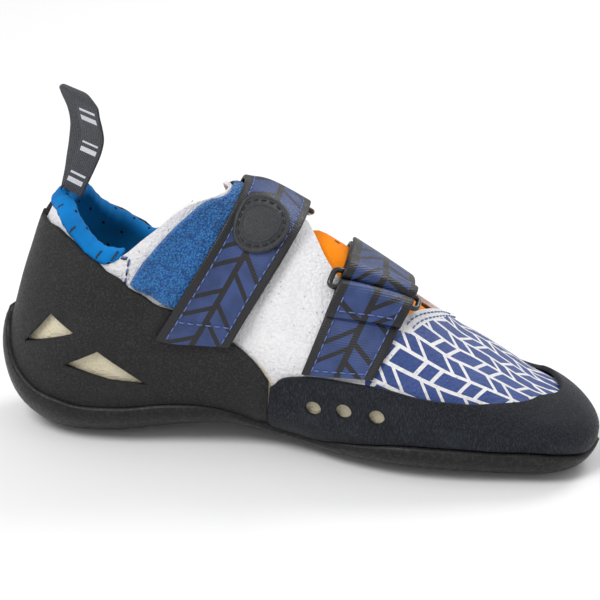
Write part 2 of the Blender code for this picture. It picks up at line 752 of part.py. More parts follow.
def outsole(finish):
    """One slab from edge to edge, thinner along its border and ground flat where it meets the floor."""
    edges = [np.vstack([toe_edge(side), heel_edge(side)[1:]]) for side in (-1, 1)]
    width = np.linalg.norm(last_at(edges[0]) - last_at(edges[1]), axis=1)
    border = SOLE_BEVEL / BALL_WIDTH * np.array((0, BORDER_SHARE, 1))
    shares = np.array((*border, *SOLE_COLUMNS, *(1 - border[::-1])))
    places = across(edges[0], edges[1], shares)
    depth = np.minimum(shares, shares[::-1])[None, :] * np.maximum(width, SOLE_BEVEL)[:, None]
    ends = np.linalg.norm(last_at(places.reshape(-1, 2)).reshape(*places.shape[:2], 3)
                          - last_at(edges[0][-1:])[0], axis=2)
    depth = np.minimum(depth, ends)
    full = np.clip(depth / SOLE_BEVEL, 0, 1)
    lift = RUBBER_PLAY + SOLE_EDGE_THICKNESS + (SOLE_THICKNESS - SOLE_EDGE_THICKNESS) * np.sqrt(full)
    outer = on_last(places, lift)
    outer[..., 2] = np.where(outer[..., 2] < REST_DEPTH, 0, outer[..., 2])
    return slab("outsole", outer, on_last(places, RUBBER_PLAY + SOLE_ROOM * full), finish)


def toe_rand(finish):
    rows = np.array(TOE_RAND_TOP)
    upper_edge, lower_edge = [], []
    for side, columns in ((-1, (0, 1)), (1, (2, 3))):
        top = girth_place(rows[:, columns[0]], rows[:, columns[1]], side)
        upper_edge.append(curve(top, TOE_ROWS, TOE_CROWDING))
        lower_edge.append(toe_edge(side))
    low = np.vstack([lower_edge[0][::-1], lower_edge[1][1:]])
    high = np.vstack([upper_edge[0][::-1], upper_edge[1][1:]])
    low = shifted(low, 2 * PLAY)
    places = between(low, high, np.linspace(0, 1, TOE_RAND_COLUMNS))
    outer = on_last(places, RUBBER_PLAY + TOE_RAND_THICKNESS)
    rand = slab("toe_rand", outer, on_last(places, RUBBER_PLAY), finish)
    for number, (station, girth) in enumerate(HOLES):
        middle = on_last(girth_place([station], [girth], -1), 0)[0]
        angles = np.arange(HOLE_SIDES) * 2 * np.pi / HOLE_SIDES
        rim = np.column_stack([np.cos(angles), 0 * angles, np.sin(angles)]) * HOLE_DIAMETER / 2
        reach = np.array([0, CUTTER_REACH, 0])
        cut(rand, f"hole_{number}", np.stack([middle + rim + reach, middle + rim - reach]))
    return rand


def heel_rand(finish):
    rows = np.array(HEEL_RAND_TOP)
    lower_edge, upper_edge = [], []
    for side in (-1, 1):
        top = girth_place(rows[:, 0], rows[:, 1], side)
        upper_edge.append(curve(top, HEEL_ROWS, HEEL_CROWDING))
        lower_edge.append(heel_edge(side))
    low = np.vstack([lower_edge[0], lower_edge[1][::-1][1:]])
    high = np.vstack([upper_edge[0], upper_edge[1][::-1][1:]])
    low = shifted(low, -PLAY)
    places = between(low, high, np.linspace(0, 1, HEEL_RAND_COLUMNS))
    for end, inner in ((0, 1), (-1, -2)):
        run = places[inner] - places[end]
        length = np.linalg.norm(last_at(places[inner]) - last_at(places[end]), axis=1)
        places[end] += run * (2 * PLAY / length)[:, None]
    outer = on_last(places, RUBBER_PLAY + HEEL_RAND_THICKNESS)
    rand = slab("heel_rand", outer, on_last(places, RUBBER_PLAY), finish)
    for number, corners in enumerate(WINDOWS):
        corners = np.array(corners)
        rim = on_last(girth_place(corners[:, 0], corners[:, 1], -1), 0)
        reach = np.array([0, CUTTER_REACH, 0])
        cut(rand, f"window_{number}", np.stack([rim + reach, rim - reach]))
    return rand


# Straps


def strip(shape):
    """A strap's way over the last: places on a grid of distances along it and shares of its width.

    The distance is 0 on its ring's line and grows from the near side to the far one."""
    shares = np.linspace(*WAY_SHARES, WAY_COLUMNS)
    turns = np.linspace(-WAY_TURN, WAY_TURN, WAY_TURNS)
    run = shape["width"] / np.sin(np.radians(shape["rear"]))
    columns = []
    for share in shares:
        lean = np.radians(shape["rear"] + (shape["front"] - shape["rear"]) * share)
        foot = shape["x"] * LAST_LENGTH + share * run
        low, high = (np.full(len(turns), station) for station in WAY_STATIONS)
        for _ in range(WAY_HALVINGS):
            middle = (low + high) / 2
            point = last_at(place(middle, turns))
            ahead = (point[:, 0] - foot) * np.sin(lean)
            ahead -= (point[:, 2] - shape["z"] * INSTEP_HEIGHT) * np.cos(lean)
            low, high = np.where(ahead > 0, middle, low), np.where(ahead > 0, high, middle)
        places = place((low + high) / 2, turns)
        points, normals = on_last(places, 0), last_normals(places)
        raised = points + normals * WEBBING_THICKNESS
        reach = np.concatenate([[0], np.cumsum(np.linalg.norm(np.diff(raised, axis=0), axis=1))])
        ring_turn = shape["ring"][0] + (shape["ring"][1] - shape["ring"][0]) * share
        reach -= np.interp(ring_turn, turns, reach)
        columns.append((reach, points, normals))
    first = max(reach[0] for reach, _, _ in columns)
    last = min(reach[-1] for reach, _, _ in columns)
    along = np.linspace(first, last, WAY_LINES)
    grid = np.empty((len(shares), len(along), 6))
    for j, (reach, points, normals) in enumerate(columns):
        for k in range(3):
            grid[j, :, k] = np.interp(along, reach, points[:, k])
            grid[j, :, 3 + k] = np.interp(along, reach, normals[:, k])
    return {"shares": shares, "along": along, "grid": grid}


def lay(way, share, along, lift):
    """Points over a strap's way, by share of its width, distance along it and height over the last."""
    share, along, lift = np.broadcast_arrays(share, along, lift)
    i = (share - way["shares"][0]) / (way["shares"][1] - way["shares"][0])
    j = (along - way["along"][0]) / (way["along"][1] - way["along"][0])
    i, j = np.clip(i, 0, len(way["shares"]) - 1.001), np.clip(j, 0, len(way["along"]) - 1.001)
    a, b = i.astype(int), j.astype(int)
    s, t = (i - a)[..., None], (j - b)[..., None]
    grid = way["grid"]
    row = grid[a, b] * (1 - s) * (1 - t) + grid[a + 1, b] * s * (1 - t)
    row = row + grid[a, b + 1] * (1 - s) * t + grid[a + 1, b + 1] * s * t
    normal = row[..., 3:] / np.linalg.norm(row[..., 3:], axis=-1)[..., None]
    return row[..., :3] + normal * lift[..., None]


# Heights over the last: the middle of a strap's first and second layer, of the layer over the pile panel,
# of a ring's wire, and of the webbing where it goes over that wire
WRAP_RADIUS = RING_WIRE_RADIUS + RING_PLAY + WEBBING_THICKNESS / 2
LOW_LAYER = PLAY + WEBBING_THICKNESS / 2
SECOND_LAYER = LOW_LAYER + WEBBING_THICKNESS + PLAY
PILE_LAYER = PILE_PLAY + PILE_THICKNESS + PLAY + WEBBING_THICKNESS / 2
BAR_LIFT = LOW_LAYER + WRAP_RADIUS
TURN_TOP = BAR_LIFT + WRAP_RADIUS


def thick_path(path, thickness):
    """The closed outline of a strip whose middle runs along a path of (along, lift) points."""
    run = np.gradient(path, axis=0)
    aside = np.column_stack([-run[:, 1], run[:, 0]])
    aside /= np.linalg.norm(aside, axis=1)[:, None]
    return np.vstack([path + aside * thickness / 2, (path - aside * thickness / 2)[::-1]])


def wrap_arc(centre, first, last):
    """The strip's turn round a ring's bar, by angles in degrees from the far direction."""
    angles = np.radians(np.linspace(first, last, WRAP_STEPS))
    return [(centre + WRAP_RADIUS * np.cos(a), BAR_LIFT + WRAP_RADIUS * np.sin(a)) for a in angles]


def webbing(name, way, ends, path_from, finish):
    """A strap whose path starts at an end of its own at each share of its width."""
    rings = []
    for share in np.linspace(0, 1, STRAP_COLUMNS):
        path = path_from(ends[0] + (ends[1] - ends[0]) * share)
        outline = thick_path(np.array(path), WEBBING_THICKNESS)
        rings.append(lay(way, share, outline[:, 0], outline[:, 1]))
    return bars(name, np.stack(rings), finish)


def straight(start, end, first_lift, last_lift, count):
    share = np.linspace(0, 1, count)
    rise = share * share * (3 - 2 * share)
    return list(zip(start + (end - start) * share, first_lift + (last_lift - first_lift) * rise))


def anchor(name, way, ends, sense, finish):
    """A tab from its sewn end to the ring's bar at 0, round it and back over itself.

    sense is 1 where the tab comes from the near side and -1 where it comes from the far one."""
    def path_from(end):
        path = straight(-end, -BEND_START, LOW_LAYER, LOW_LAYER, ANCHOR_STEPS)
        path += wrap_arc(0, -90, 90)
        path += straight(-BEND_START, -RETURN_LENGTH, TURN_TOP, SECOND_LAYER, RAMP_STEPS)
        return [(sense * along, lift) for along, lift in path]

    return webbing(name, way, ends, path_from, finish)


def ring(name, way, centre, finish):
    """A wire frame whose long bars lie across the strap, at centre and a span further on."""
    half_width = REAR_STRAP_WIDTH / 2 + RING_MARGIN - RING_CORNER
    outline = []
    for x, y, first in ((1, 1, 0), (-1, 1, 90), (-1, -1, 180), (1, -1, 270)):
        for angle in np.radians(np.linspace(first, first + 90, CORNER_STEPS)):
            sideways = x * half_width + RING_CORNER * np.cos(angle)
            along = y * (RING_SPAN / 2 - RING_CORNER) + RING_CORNER * np.sin(angle)
            outline.append((0.5 + sideways / REAR_STRAP_WIDTH, centre + along))
        if x == y:
            share, along = outline[-1]
            outline += [(0.5 + (share - 0.5) * part, along) for part in BAR_POINTS]
    outline = np.array(outline)
    middle = lay(way, outline[:, 0], outline[:, 1], np.full(len(outline), BAR_LIFT))
    outward = lay(way, outline[:, 0], outline[:, 1], np.full(len(outline), 2 * BAR_LIFT)) - middle
    outward /= np.linalg.norm(outward, axis=1)[:, None]
    run = np.roll(middle, -1, axis=0) - np.roll(middle, 1, axis=0)
    aside = np.cross(run, outward)
    aside /= np.linalg.norm(aside, axis=1)[:, None]
    angles = np.arange(RING_SIDES) * 2 * np.pi / RING_SIDES
    rings = middle[:, None] + RING_WIRE_RADIUS * (
        np.cos(angles)[None, :, None] * outward[:, None] + np.sin(angles)[None, :, None] * aside[:, None]
    )
    return closed_tube(name, rings, finish)


def rear_strap(way, finish):
    """From its free end on the near side, over the pile panel and the ridge, and round its ring's far bar."""
    def path_from(end):
        path = straight(end, -REAR_REST_START, PILE_LAYER, PILE_LAYER, LONG_STEPS)
        path += straight(-BEND_RUN, -BEND_START, PILE_LAYER, TURN_TOP, RAMP_STEPS)
        path += wrap_arc(0, 90, -90)
        path += straight(-BEND_START, -BEND_RUN, LOW_LAYER, LOW_LAYER, END_STEPS)
        return path

    return webbing("rear_strap", way, REAR_STRAP_ENDS, path_from, finish)


def front_strap(way, finish):
    """From its sewn end on the far side, over the tongue, round its ring's bar and back over itself."""
    def path_from(end):
        path = straight(end, RING_SPAN + BEND_START, LOW_LAYER, LOW_LAYER, LONG_STEPS)
        path += wrap_arc(RING_SPAN, 270, 90)
        low, turned, rested = RING_SPAN + BEND_START, RING_SPAN + BEND_RUN, RING_SPAN + FRONT_REST_START
        path += straight(low, turned, TURN_TOP, SECOND_LAYER, RAMP_STEPS)
        path += straight(rested, RING_SPAN + FRONT_RETURN, SECOND_LAYER, SECOND_LAYER, RETURN_STEPS)
        return path

    return webbing("front_strap", way, FRONT_STRAP_ENDS, path_from, finish)


def badge(way, finish):
    """A round rubber disc that follows the strap, domed a little."""
    radii, dome = np.array(BADGE_DOME).T
    angles = np.linspace(0, 2 * np.pi, BADGE_SIDES + 1)
    sideways = BADGE_SHARE + np.outer(radii, np.cos(angles)) * BADGE_RADIUS / REAR_STRAP_WIDTH
    along = BADGE_ALONG + np.outer(radii, np.sin(angles)) * BADGE_RADIUS
    sideways[:, -1], along[:, -1] = sideways[:, 0], along[:, 0]
    low = PILE_LAYER + WEBBING_THICKNESS / 2 + PLAY
    outer = lay(way, sideways, along, low + dome[:, None] * BADGE_THICKNESS)
    return slab("badge", outer, lay(way, sideways, along, low), finish)


def pile_panel(finish):
    """A panel between four edges on the near flap."""
    rows, columns = PILE_GRID
    sides = []
    for points, count in ((PILE_BOTTOM, rows), (PILE_TOP, rows),
                          (PILE_REAR, columns), (PILE_FRONT, columns)):
        points = np.array(points)
        steps = np.linspace(0, len(points) - 1, count)
        sides.append(smooth_table(np.column_stack([np.arange(len(points)), points]), steps))
    bottom, top, rear, front = sides
    u, v = np.linspace(0, 1, rows)[:, None, None], np.linspace(0, 1, columns)[None, :, None]
    upward = bottom[:, None] * (1 - v) + top[:, None] * v
    forward = rear[None] * (1 - u) + front[None] * u
    corners = (bottom[0] * (1 - u) + bottom[-1] * u) * (1 - v) + (top[0] * (1 - u) + top[-1] * u) * v
    mixed = upward + forward - corners
    places = place(mixed[..., 0], mixed[..., 1])
    outer = on_last(places, PILE_PLAY + PILE_THICKNESS)
    return slab("pile_panel", outer, on_last(places, PILE_PLAY), finish)


def pull_loop(finish):
    """Webbing that rises from the collar's roll, turns over at the top and comes down behind itself."""
    shares = np.linspace(0, 1, LOOP_ROWS)
    lean, back, turn, opening = smooth_table(LOOP_SHAPE, shares).T
    behind = np.array([-1.0])
    edge = on_last(place(collar_station(behind), behind), 0)[0]
    foot = edge[2] + ROLL_RISE + ROLL_RADIUS - LOOP_SINK
    width = np.column_stack([np.cos(np.radians(turn)), np.sin(np.radians(turn)), 0 * turn])
    facing = np.column_stack([width[:, 1], -width[:, 0], 0 * turn])
    middle = np.column_stack([
        edge[0] + LOOP_INSET + lean * LOOP_WIDTH, 0 * lean, foot + shares * LOOP_HEIGHT
    ])
    gap = (LOOP_THICKNESS + PLAY) / 2 + opening * LOOP_OPENING / 2
    rise = middle + facing * gap[:, None]
    fall = middle - facing * gap[:, None] - width * (back * LOOP_WIDTH)[:, None]
    crown = []
    for angle in np.radians(CROWN_ANGLES):
        mix = (1 - np.cos(angle)) / 2
        point = rise[-1] * (1 - mix) + fall[-1] * mix
        crown.append(point + [0, 0, gap[-1] * np.sin(angle)])
    path = np.vstack([rise, crown, fall[::-1]])
    wide = np.vstack([width, [width[-1]] * len(crown), width[::-1]])
    run = np.gradient(path, axis=0)
    outward = np.cross(run, wide)
    outward /= np.linalg.norm(outward, axis=1)[:, None]
    rings = np.stack([
        path + wide * x * LOOP_WIDTH / 2 + outward * y * LOOP_THICKNESS / 2
        for x, y in ((-1, -1), (1, -1), (1, 1), (-1, 1))
    ], axis=1)
    return bars("pull_loop", rings, finish)


def build():
    start_empty()
    white = finish_of("white synthetic", (0.86, 0.86, 0.87), 0.55)
    rubber = finish_of("black rubber", (0.045, 0.047, 0.050), 0.70)
    sole_rubber = finish_of("sole rubber", (0.030, 0.031, 0.033), 0.60)
    blue = finish_of("blue lining", (0.010, 0.190, 0.620), 0.80)
    pile = finish_of("blue pile", (0.020, 0.110, 0.360), 0.95)
    navy = finish_of("navy webbing", (0.040, 0.055, 0.160), 0.60)
    orange = finish_of("orange tongue", (0.900, 0.270, 0.010), 0.70)
    plastic = finish_of("black plastic", (0.010, 0.010, 0.012), 0.35)
    grey = finish_of("grey webbing", (0.060, 0.065, 0.075), 0.75)
    board = finish_of("insole", (0.300, 0.300, 0.310), 0.85)
    upper(white)
    insole(board)
    tongue(orange)
    collar_lining(blue)
    outsole(sole_rubber)
    toe_rand(rubber)
    heel_rand(rubber)
    pile_panel(pile)
    rear_way, front_way = strip(REAR_STRAP), strip(FRONT_STRAP)
    rear_strap(rear_way, navy)
    ring("rear_ring", rear_way, RING_SPAN / 2, plastic)
    anchor_way = dict(rear_way, along=rear_way["along"] - RING_SPAN)
    anchor("rear_anchor", anchor_way, REAR_ANCHOR_ENDS, -1, navy)
    badge(rear_way, rubber)
    front_strap(front_way, navy)
    ring("front_ring", front_way, RING_SPAN / 2, plastic)
    anchor("front_anchor", front_way, FRONT_ANCHOR_ENDS, 1, navy)
    pull_loop(grey)


build()
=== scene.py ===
"""The looks of a climbing shoe for the left foot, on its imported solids, in metres.

+X runs to the toe, +Z up and -Y is the near side. Every surface is laid on one last, whose coordinates are a
station, 0 at the toe's tip and 1 at the collar, and a girth, 0 under the foot and 1 along the top. Pieces
carry two attributes for their materials: flat, a place in metres on the unrolled piece, and mask, a share.
"""

import bmesh
import bpy
import numpy as np
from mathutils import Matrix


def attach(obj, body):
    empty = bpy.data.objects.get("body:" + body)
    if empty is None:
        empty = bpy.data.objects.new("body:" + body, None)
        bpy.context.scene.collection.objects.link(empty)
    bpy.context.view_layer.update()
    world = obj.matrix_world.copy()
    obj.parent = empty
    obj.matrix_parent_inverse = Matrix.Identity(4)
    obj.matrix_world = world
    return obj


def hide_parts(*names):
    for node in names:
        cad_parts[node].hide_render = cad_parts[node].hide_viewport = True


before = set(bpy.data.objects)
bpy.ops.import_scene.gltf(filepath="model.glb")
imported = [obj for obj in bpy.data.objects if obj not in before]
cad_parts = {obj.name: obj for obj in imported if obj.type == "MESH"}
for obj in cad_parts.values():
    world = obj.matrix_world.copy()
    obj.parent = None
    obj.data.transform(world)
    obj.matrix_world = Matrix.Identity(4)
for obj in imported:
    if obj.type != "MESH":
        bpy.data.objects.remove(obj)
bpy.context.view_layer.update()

# Camera: the photo's angle to the shoe, and the share of the frame that the shoe's middle stands off centre
CAMERA_AZIMUTH = 7.0
CAMERA_ELEVATION = 25.0
CAMERA_DISTANCE = 1.0
CAMERA_TARGET = (0.085, 0.0, 0.045)
CAMERA_LENS = 141.6
CAMERA_SENSOR = 36.0
CAMERA_SHIFT = (0.0010, 0.0502)

# Light: the world's strength, and each soft lamp's place, size and power
WORLD_STRENGTH = 0.66
LIGHTS = (
    ("key", (-0.45, -0.75, 1.25), 0.7, 13.0),
    ("rim", (0.75, 0.80, 0.95), 0.6, 7.0),
)

# The last
LAST_LENGTH = 0.250
BALL_WIDTH = 0.088
INSTEP_HEIGHT = 0.100

# Thicknesses, and the play that pieces keep between them. Larger pieces keep more, as their flat faces
# stand a little off the last.
PLAY = 0.0004
RUBBER_PLAY = 0.0009
SOLE_ROOM = 0.0012
PILE_PLAY = 0.0012
INSIDE_PLAY = 0.0021
RIM_PLAY = 0.0010
RING_PLAY = 0.0006
WALL = 0.0018
INSOLE_THICKNESS = 0.0020
TONGUE_THICKNESS = 0.0018
LINING_THICKNESS = 0.0014
SOLE_THICKNESS = 0.0045
SOLE_EDGE_THICKNESS = 0.0029
SOLE_BEVEL = 0.0045
GRIND = 0.0006
HEEL_RAND_THICKNESS = 0.0017
TOE_RAND_THICKNESS = 0.0020
PILE_THICKNESS = 0.0017
WEBBING_THICKNESS = 0.0018

# Collar
LINING_DEPTH = 0.020
ROLL_RADIUS = 0.0034
ROLL_RISE = 0.0016

# Straps, rings and badge
REAR_STRAP_WIDTH = 0.0285
FRONT_STRAP_WIDTH = 0.0275
RING_WIRE_RADIUS = 0.0012
RING_SPAN = 0.0075
RING_MARGIN = 0.0030
RING_CORNER = 0.0019
RETURN_LENGTH = 0.012
FRONT_RETURN = 0.032
BEND_START = 0.0015
BEND_RUN = 0.0110
# Where the straight part ends before a rear strap's rise and starts after a front strap's fall, in bend runs
REAR_RISE = 1.5
FRONT_FALL = 1.3
BADGE_RADIUS = 0.0116
BADGE_THICKNESS = 0.0024

# Pull loop
LOOP_HEIGHT = 0.0385
LOOP_INSET = 0.0076
LOOP_SINK = 0.0011
LOOP_WIDTH = 0.0150
LOOP_THICKNESS = 0.0012
LOOP_OPENING = 0.0062

# Windows and holes through the rands
HOLE_DIAMETER = 0.0066
CUTTER_REACH = 0.012

# The last's sections. x is a share of LAST_LENGTH, z of INSTEP_HEIGHT and y of BALL_WIDTH. The widest
# point is a share of the height, and the powers are those of its superellipses above and below.
# station, top x, top z, low x, low z, near y, far y, ridge y, keel y, widest, crown power, floor power
LAST_SECTIONS = (
    (0.00, 1.000, 0.200, 1.000, 0.015, -0.432, 0.000, -0.227, -0.205, 0.48, 2.20, 2.6),
    (0.09, 0.904, 0.270, 0.904, 0.000, -0.455, 0.205, -0.159, -0.136, 0.44, 2.20, 3.0),
    (0.17, 0.832, 0.360, 0.832, 0.000, -0.477, 0.341, -0.114, -0.068, 0.40, 2.10, 3.4),
    (0.26, 0.752, 0.470, 0.752, 0.000, -0.489, 0.455, -0.080, -0.023, 0.35, 2.00, 3.6),
    (0.36, 0.660, 0.640, 0.660, 0.000, -0.477, 0.511, -0.045, 0.023, 0.32, 1.95, 3.6),
    (0.45, 0.572, 0.790, 0.572, 0.005, -0.420, 0.500, -0.023, 0.034, 0.30, 1.95, 3.4),
    (0.53, 0.488, 0.920, 0.488, 0.035, -0.364, 0.432, 0.000, 0.034, 0.29, 2.00, 3.2),
    (0.60, 0.440, 0.990, 0.392, 0.065, -0.318, 0.375, 0.000, 0.023, 0.30, 2.10, 3.0),
    (0.68, 0.416, 1.010, 0.272, 0.035, -0.318, 0.352, 0.000, 0.011, 0.33, 2.10, 3.0),
    (0.75, 0.404, 1.020, 0.168, 0.000, -0.341, 0.352, 0.000, 0.000, 0.36, 2.10, 2.9),
    (0.81, 0.398, 1.025, 0.076, 0.015, -0.352, 0.352, 0.000, 0.000, 0.40, 2.05, 2.6),
    (0.86, 0.394, 1.030, 0.024, 0.130, -0.352, 0.341, 0.000, 0.000, 0.42, 2.00, 2.3),
    (0.90, 0.392, 1.030, 0.010, 0.310, -0.341, 0.341, 0.000, 0.000, 0.45, 1.95, 2.2),
    (0.94, 0.388, 1.035, 0.028, 0.520, -0.330, 0.330, 0.000, 0.000, 0.47, 1.90, 2.1),
    (0.97, 0.386, 1.040, 0.054, 0.730, -0.307, 0.307, 0.000, 0.000, 0.48, 1.90, 2.1),
    (0.99, 0.384, 1.040, 0.084, 0.930, -0.295, 0.295, 0.000, 0.000, 0.48, 1.90, 2.1),
    (1.00, 0.382, 1.040, 0.108, 1.030, -0.290, 0.290, 0.000, 0.000, 0.48, 1.90, 2.1),
)
# The toe's round end: where it starts, its length as a share of LAST_LENGTH, and its centre
NOSE_STATION = 0.09
NOSE_REACH = 0.096
NOSE_POWER = 2.2
NOSE_CENTRE_Y = -0.216
NOSE_CENTRE_Z = 0.12
HEEL_SEAT_X = 0.160

# Where the outsole's side band ends, from under the toe's tip to behind the heel. The seam between the
# two rands meets it at SEAM_ROW.
# station, near girth, far girth
SOLE_EDGE = (
    (0.016, 0.000, 0.000),
    (0.030, 0.340, 0.320),
    (0.050, 0.440, 0.410),
    (0.080, 0.475, 0.445),
    (0.150, 0.465, 0.434),
    (0.245, 0.448, 0.417),
    (0.330, 0.412, 0.381),
    (0.430, 0.325, 0.309),
    (0.500, 0.240, 0.232),
    (0.553, 0.210, 0.206),
    (0.600, 0.225, 0.225),
    (0.660, 0.245, 0.246),
    (0.745, 0.239, 0.241),
    (0.805, 0.220, 0.222),
    (0.851, 0.172, 0.172),
    (0.884, 0.115, 0.115),
    (0.912, 0.070, 0.070),
    (0.930, 0.000, 0.000),
)
SEAM_ROW = 9

# The toe rand's upper edge, from the top of the toe back to the seam
# near station, near girth, far station, far girth
TOE_RAND_TOP = (
    (0.0680, 1.000, 0.0680, 1.000),
    (0.0740, 0.915, 0.0700, 0.845),
    (0.0860, 0.850, 0.0810, 0.695),
    (0.1080, 0.765, 0.1010, 0.595),
    (0.1560, 0.695, 0.1500, 0.540),
    (0.2030, 0.655, 0.2000, 0.523),
    (0.2500, 0.632, 0.2500, 0.517),
    (0.3000, 0.609, 0.3000, 0.509),
    (0.3700, 0.585, 0.3700, 0.502),
    (0.4120, 0.558, 0.4120, 0.492),
    (0.4560, 0.525, 0.4560, 0.476),
    (0.5030, 0.475, 0.5030, 0.448),
    (0.5300, 0.436, 0.5300, 0.430),
    (0.5470, 0.385, 0.5470, 0.395),
)

# The heel rand's upper edge, from the seam back to behind the heel, the same on both sides
# station, girth
HEEL_RAND_TOP = (
    (0.550, 0.400),
    (0.578, 0.452),
    (0.601, 0.475),
    (0.672, 0.533),
    (0.771, 0.598),
    (0.834, 0.609),
    (0.888, 0.573),
    (0.947, 0.465),
    (0.975, 0.332),
    (0.985, 0.209),
    (0.986, 0.140),
    (0.987, 0.070),
    (0.987, 0.000),
)

# The collar's edge, round from under the heel, girth by girth
# girth, near station, far station
COLLAR_EDGE = (
    (0.000, 0.992, 0.992),
    (0.145, 0.993, 0.992),
    (0.235, 0.987, 0.985),
    (0.308, 0.980, 0.974),
    (0.395, 0.967, 0.958),
    (0.472, 0.955, 0.935),
    (0.532, 0.951, 0.905),
    (0.592, 0.960, 0.868),
    (0.662, 0.971, 0.860),
    (0.708, 0.984, 0.885),
    (0.760, 0.996, 0.925),
    (0.850, 0.998, 0.960),
    (1.000, 0.998, 0.990),
)
# The padded roll ends at these girths
ROLL_NEAR_GIRTH = 0.530
ROLL_FAR_GIRTH = 0.680

# The throat: its two edges as turns, 0 on the ridge, below 0 on the near side. From station 0.5 on the
# near flap crosses the ridge.
# station, near turn, far turn
THROAT_EDGE = (
    (0.000, -0.150, 0.300),
    (0.343, -0.150, 0.300),
    (0.430, -0.142, 0.295),
    (0.454, -0.122, 0.290),
    (0.481, -0.060, 0.285),
    (0.507, 0.060, 0.280),
    (0.560, 0.080, 0.275),
    (0.700, 0.095, 0.268),
    (1.000, 0.090, 0.260),
)
FLAP_HEM = 0.06
# The throat's front edge, turn by turn
# turn, station
THROAT_FRONT = (
    (-1.00, 0.310),
    (-0.40, 0.325),
    (-0.15, 0.340),
    (-0.10, 0.331),
    (-0.03, 0.316),
    (0.06, 0.298),
    (0.28, 0.272),
    (0.50, 0.288),
    (1.00, 0.310),
)

# The insole's outline, and the share of its girth inside which the upper is open underneath
# station, girth
INSOLE_EDGE = (
    (0.040, 0.000),
    (0.060, 0.290),
    (0.150, 0.370),
    (0.250, 0.360),
    (0.350, 0.330),
    (0.450, 0.270),
    (0.550, 0.215),
    (0.650, 0.190),
    (0.750, 0.190),
    (0.810, 0.150),
    (0.845, 0.000),
)
LASTED_SHARE = 0.60
LASTED_FRONT = 0.10
LASTED_BACK = 0.82

# Outlines on the near flap: the pile panel's four sides, as stations and turns
PILE_BOTTOM = ((0.890, -0.420), (0.834, -0.383), (0.771, -0.395), (0.710, -0.433), (0.660, -0.466))
PILE_TOP = ((0.900, 0.035), (0.840, 0.040), (0.780, 0.040), (0.730, 0.035), (0.690, 0.030))
PILE_REAR = ((0.890, -0.420), (0.924, -0.355), (0.967, -0.245), (0.990, -0.130), (0.900, 0.035))
PILE_FRONT = ((0.660, -0.466), (0.650, -0.340), (0.650, -0.220), (0.660, -0.100), (0.690, 0.030))

# The tongue: its ends as stations, its edges as turns, and how far it swells up through the throat
TONGUE_FRONT = 0.245
TONGUE_BACK = 0.900
TONGUE_NEAR = -0.240
# The tongue's far edge, hidden under the throat's edge and clear of the lining at the back
# station, turn
TONGUE_FAR = (
    (0.245, 0.340),
    (0.640, 0.340),
    (0.760, 0.290),
    (0.900, 0.290),
)
TONGUE_SWELL = 0.0032
SWELL_START = 0.335
SWELL_END = 0.525
SWELL_RAMP = 0.05
SWELL_MARGIN = 0.055
SWELL_TURN_RAMP = 0.07

# Each strap is cut by upright planes: x of its rear edge at a height, as shares of the last, how steeply
# the rear and front edges climb, in degrees, and the turn of its ring's line at the rear and front edges
REAR_STRAP = {"x": 0.2676, "z": 0.455, "width": REAR_STRAP_WIDTH, "rear": 59.0, "front": 59.6,
              "ring": (0.105, 0.105)}
FRONT_STRAP = {"x": 0.5220, "z": 0.370, "width": FRONT_STRAP_WIDTH, "rear": 70.0, "front": 62.8,
               "ring": (-0.180, -0.095)}
# How far the straps' ways are traced: turns to either side, stations, and shares of the width
WAY_TURN = 0.70
WAY_STATIONS = (0.12, 0.99)
WAY_SHARES = (-0.16, 1.16)

# Distances along the straps from the ring's line: sewn and free ends, at the rear and front edges
REAR_STRAP_ENDS = (-0.094, -0.082)
REAR_ANCHOR_ENDS = (0.034, 0.036)
FRONT_ANCHOR_ENDS = (0.039, 0.036)
FRONT_STRAP_ENDS = (0.072, 0.066)

# The badge's place on the rear strap: its distance from the ring's line and its share of the strap's width
BADGE_ALONG = -0.0315
BADGE_SHARE = 0.46
# The badge from its middle to its rim, and the ring of stitches in its groove, as shares of its radius and
# of its thickness
BADGE_PROFILE = (
    (0.00, 0.80), (0.20, 0.80), (0.40, 0.79), (0.52, 0.78), (0.56, 0.78), (0.58, 0.92), (0.64, 0.92),
    (0.66, 0.76), (0.72, 0.72), (0.78, 0.70), (0.83, 0.66), (0.86, 0.84), (0.91, 0.86), (0.96, 0.76),
    (0.99, 0.55), (1.00, 0.25),
)
BADGE_STITCH_RING = (0.76, 0.74)

# Windows in the heel rand, corners as station and girth, and holes in the toe rand
WINDOWS = (
    ((0.904, 0.165), (0.922, 0.278), (0.878, 0.375)),
    ((0.853, 0.305), (0.831, 0.408), (0.722, 0.328), (0.782, 0.338)),
)
HOLES = ((0.480, 0.398), (0.429, 0.448), (0.372, 0.485))

# The pull loop, from its foot on the collar's roll to its top
# share of its height, lean forward and far leg's lean back as shares of its width, turn of its width from
# +X in degrees, share of its opening
LOOP_SHAPE = (
    (0.00, 0.00, 0.12, -44.0, 0.00),
    (0.15, 0.18, 0.26, -44.0, 0.00),
    (0.30, 0.36, 0.42, -43.0, 0.00),
    (0.52, 0.60, 0.64, -42.0, 0.06),
    (0.66, 0.74, 0.92, -42.0, 0.45),
    (0.80, 0.76, 1.16, -42.0, 0.75),
    (0.92, 0.71, 1.32, -42.0, 0.80),
    (1.00, 0.66, 1.30, -42.0, 0.65),
)
# One side of the loop's webbing, as shares of its half width and of its half thickness
LOOP_PROFILE = (
    (-1, 0.45), (-0.97, 0.85), (-0.90, 1.0), (-0.5, 1.0), (0, 1.0), (0.5, 1.0), (0.90, 1.0), (0.97, 0.85),
    (1, 0.45),
)
# The degrees between the points of its crown
LOOP_CROWN_STEP = 15

# The tongue's free end lies deeper in the shoe: the stations between which it sinks, and how far
TUCK_START = 0.56
TUCK_END = 0.70
TUCK = 0.0030

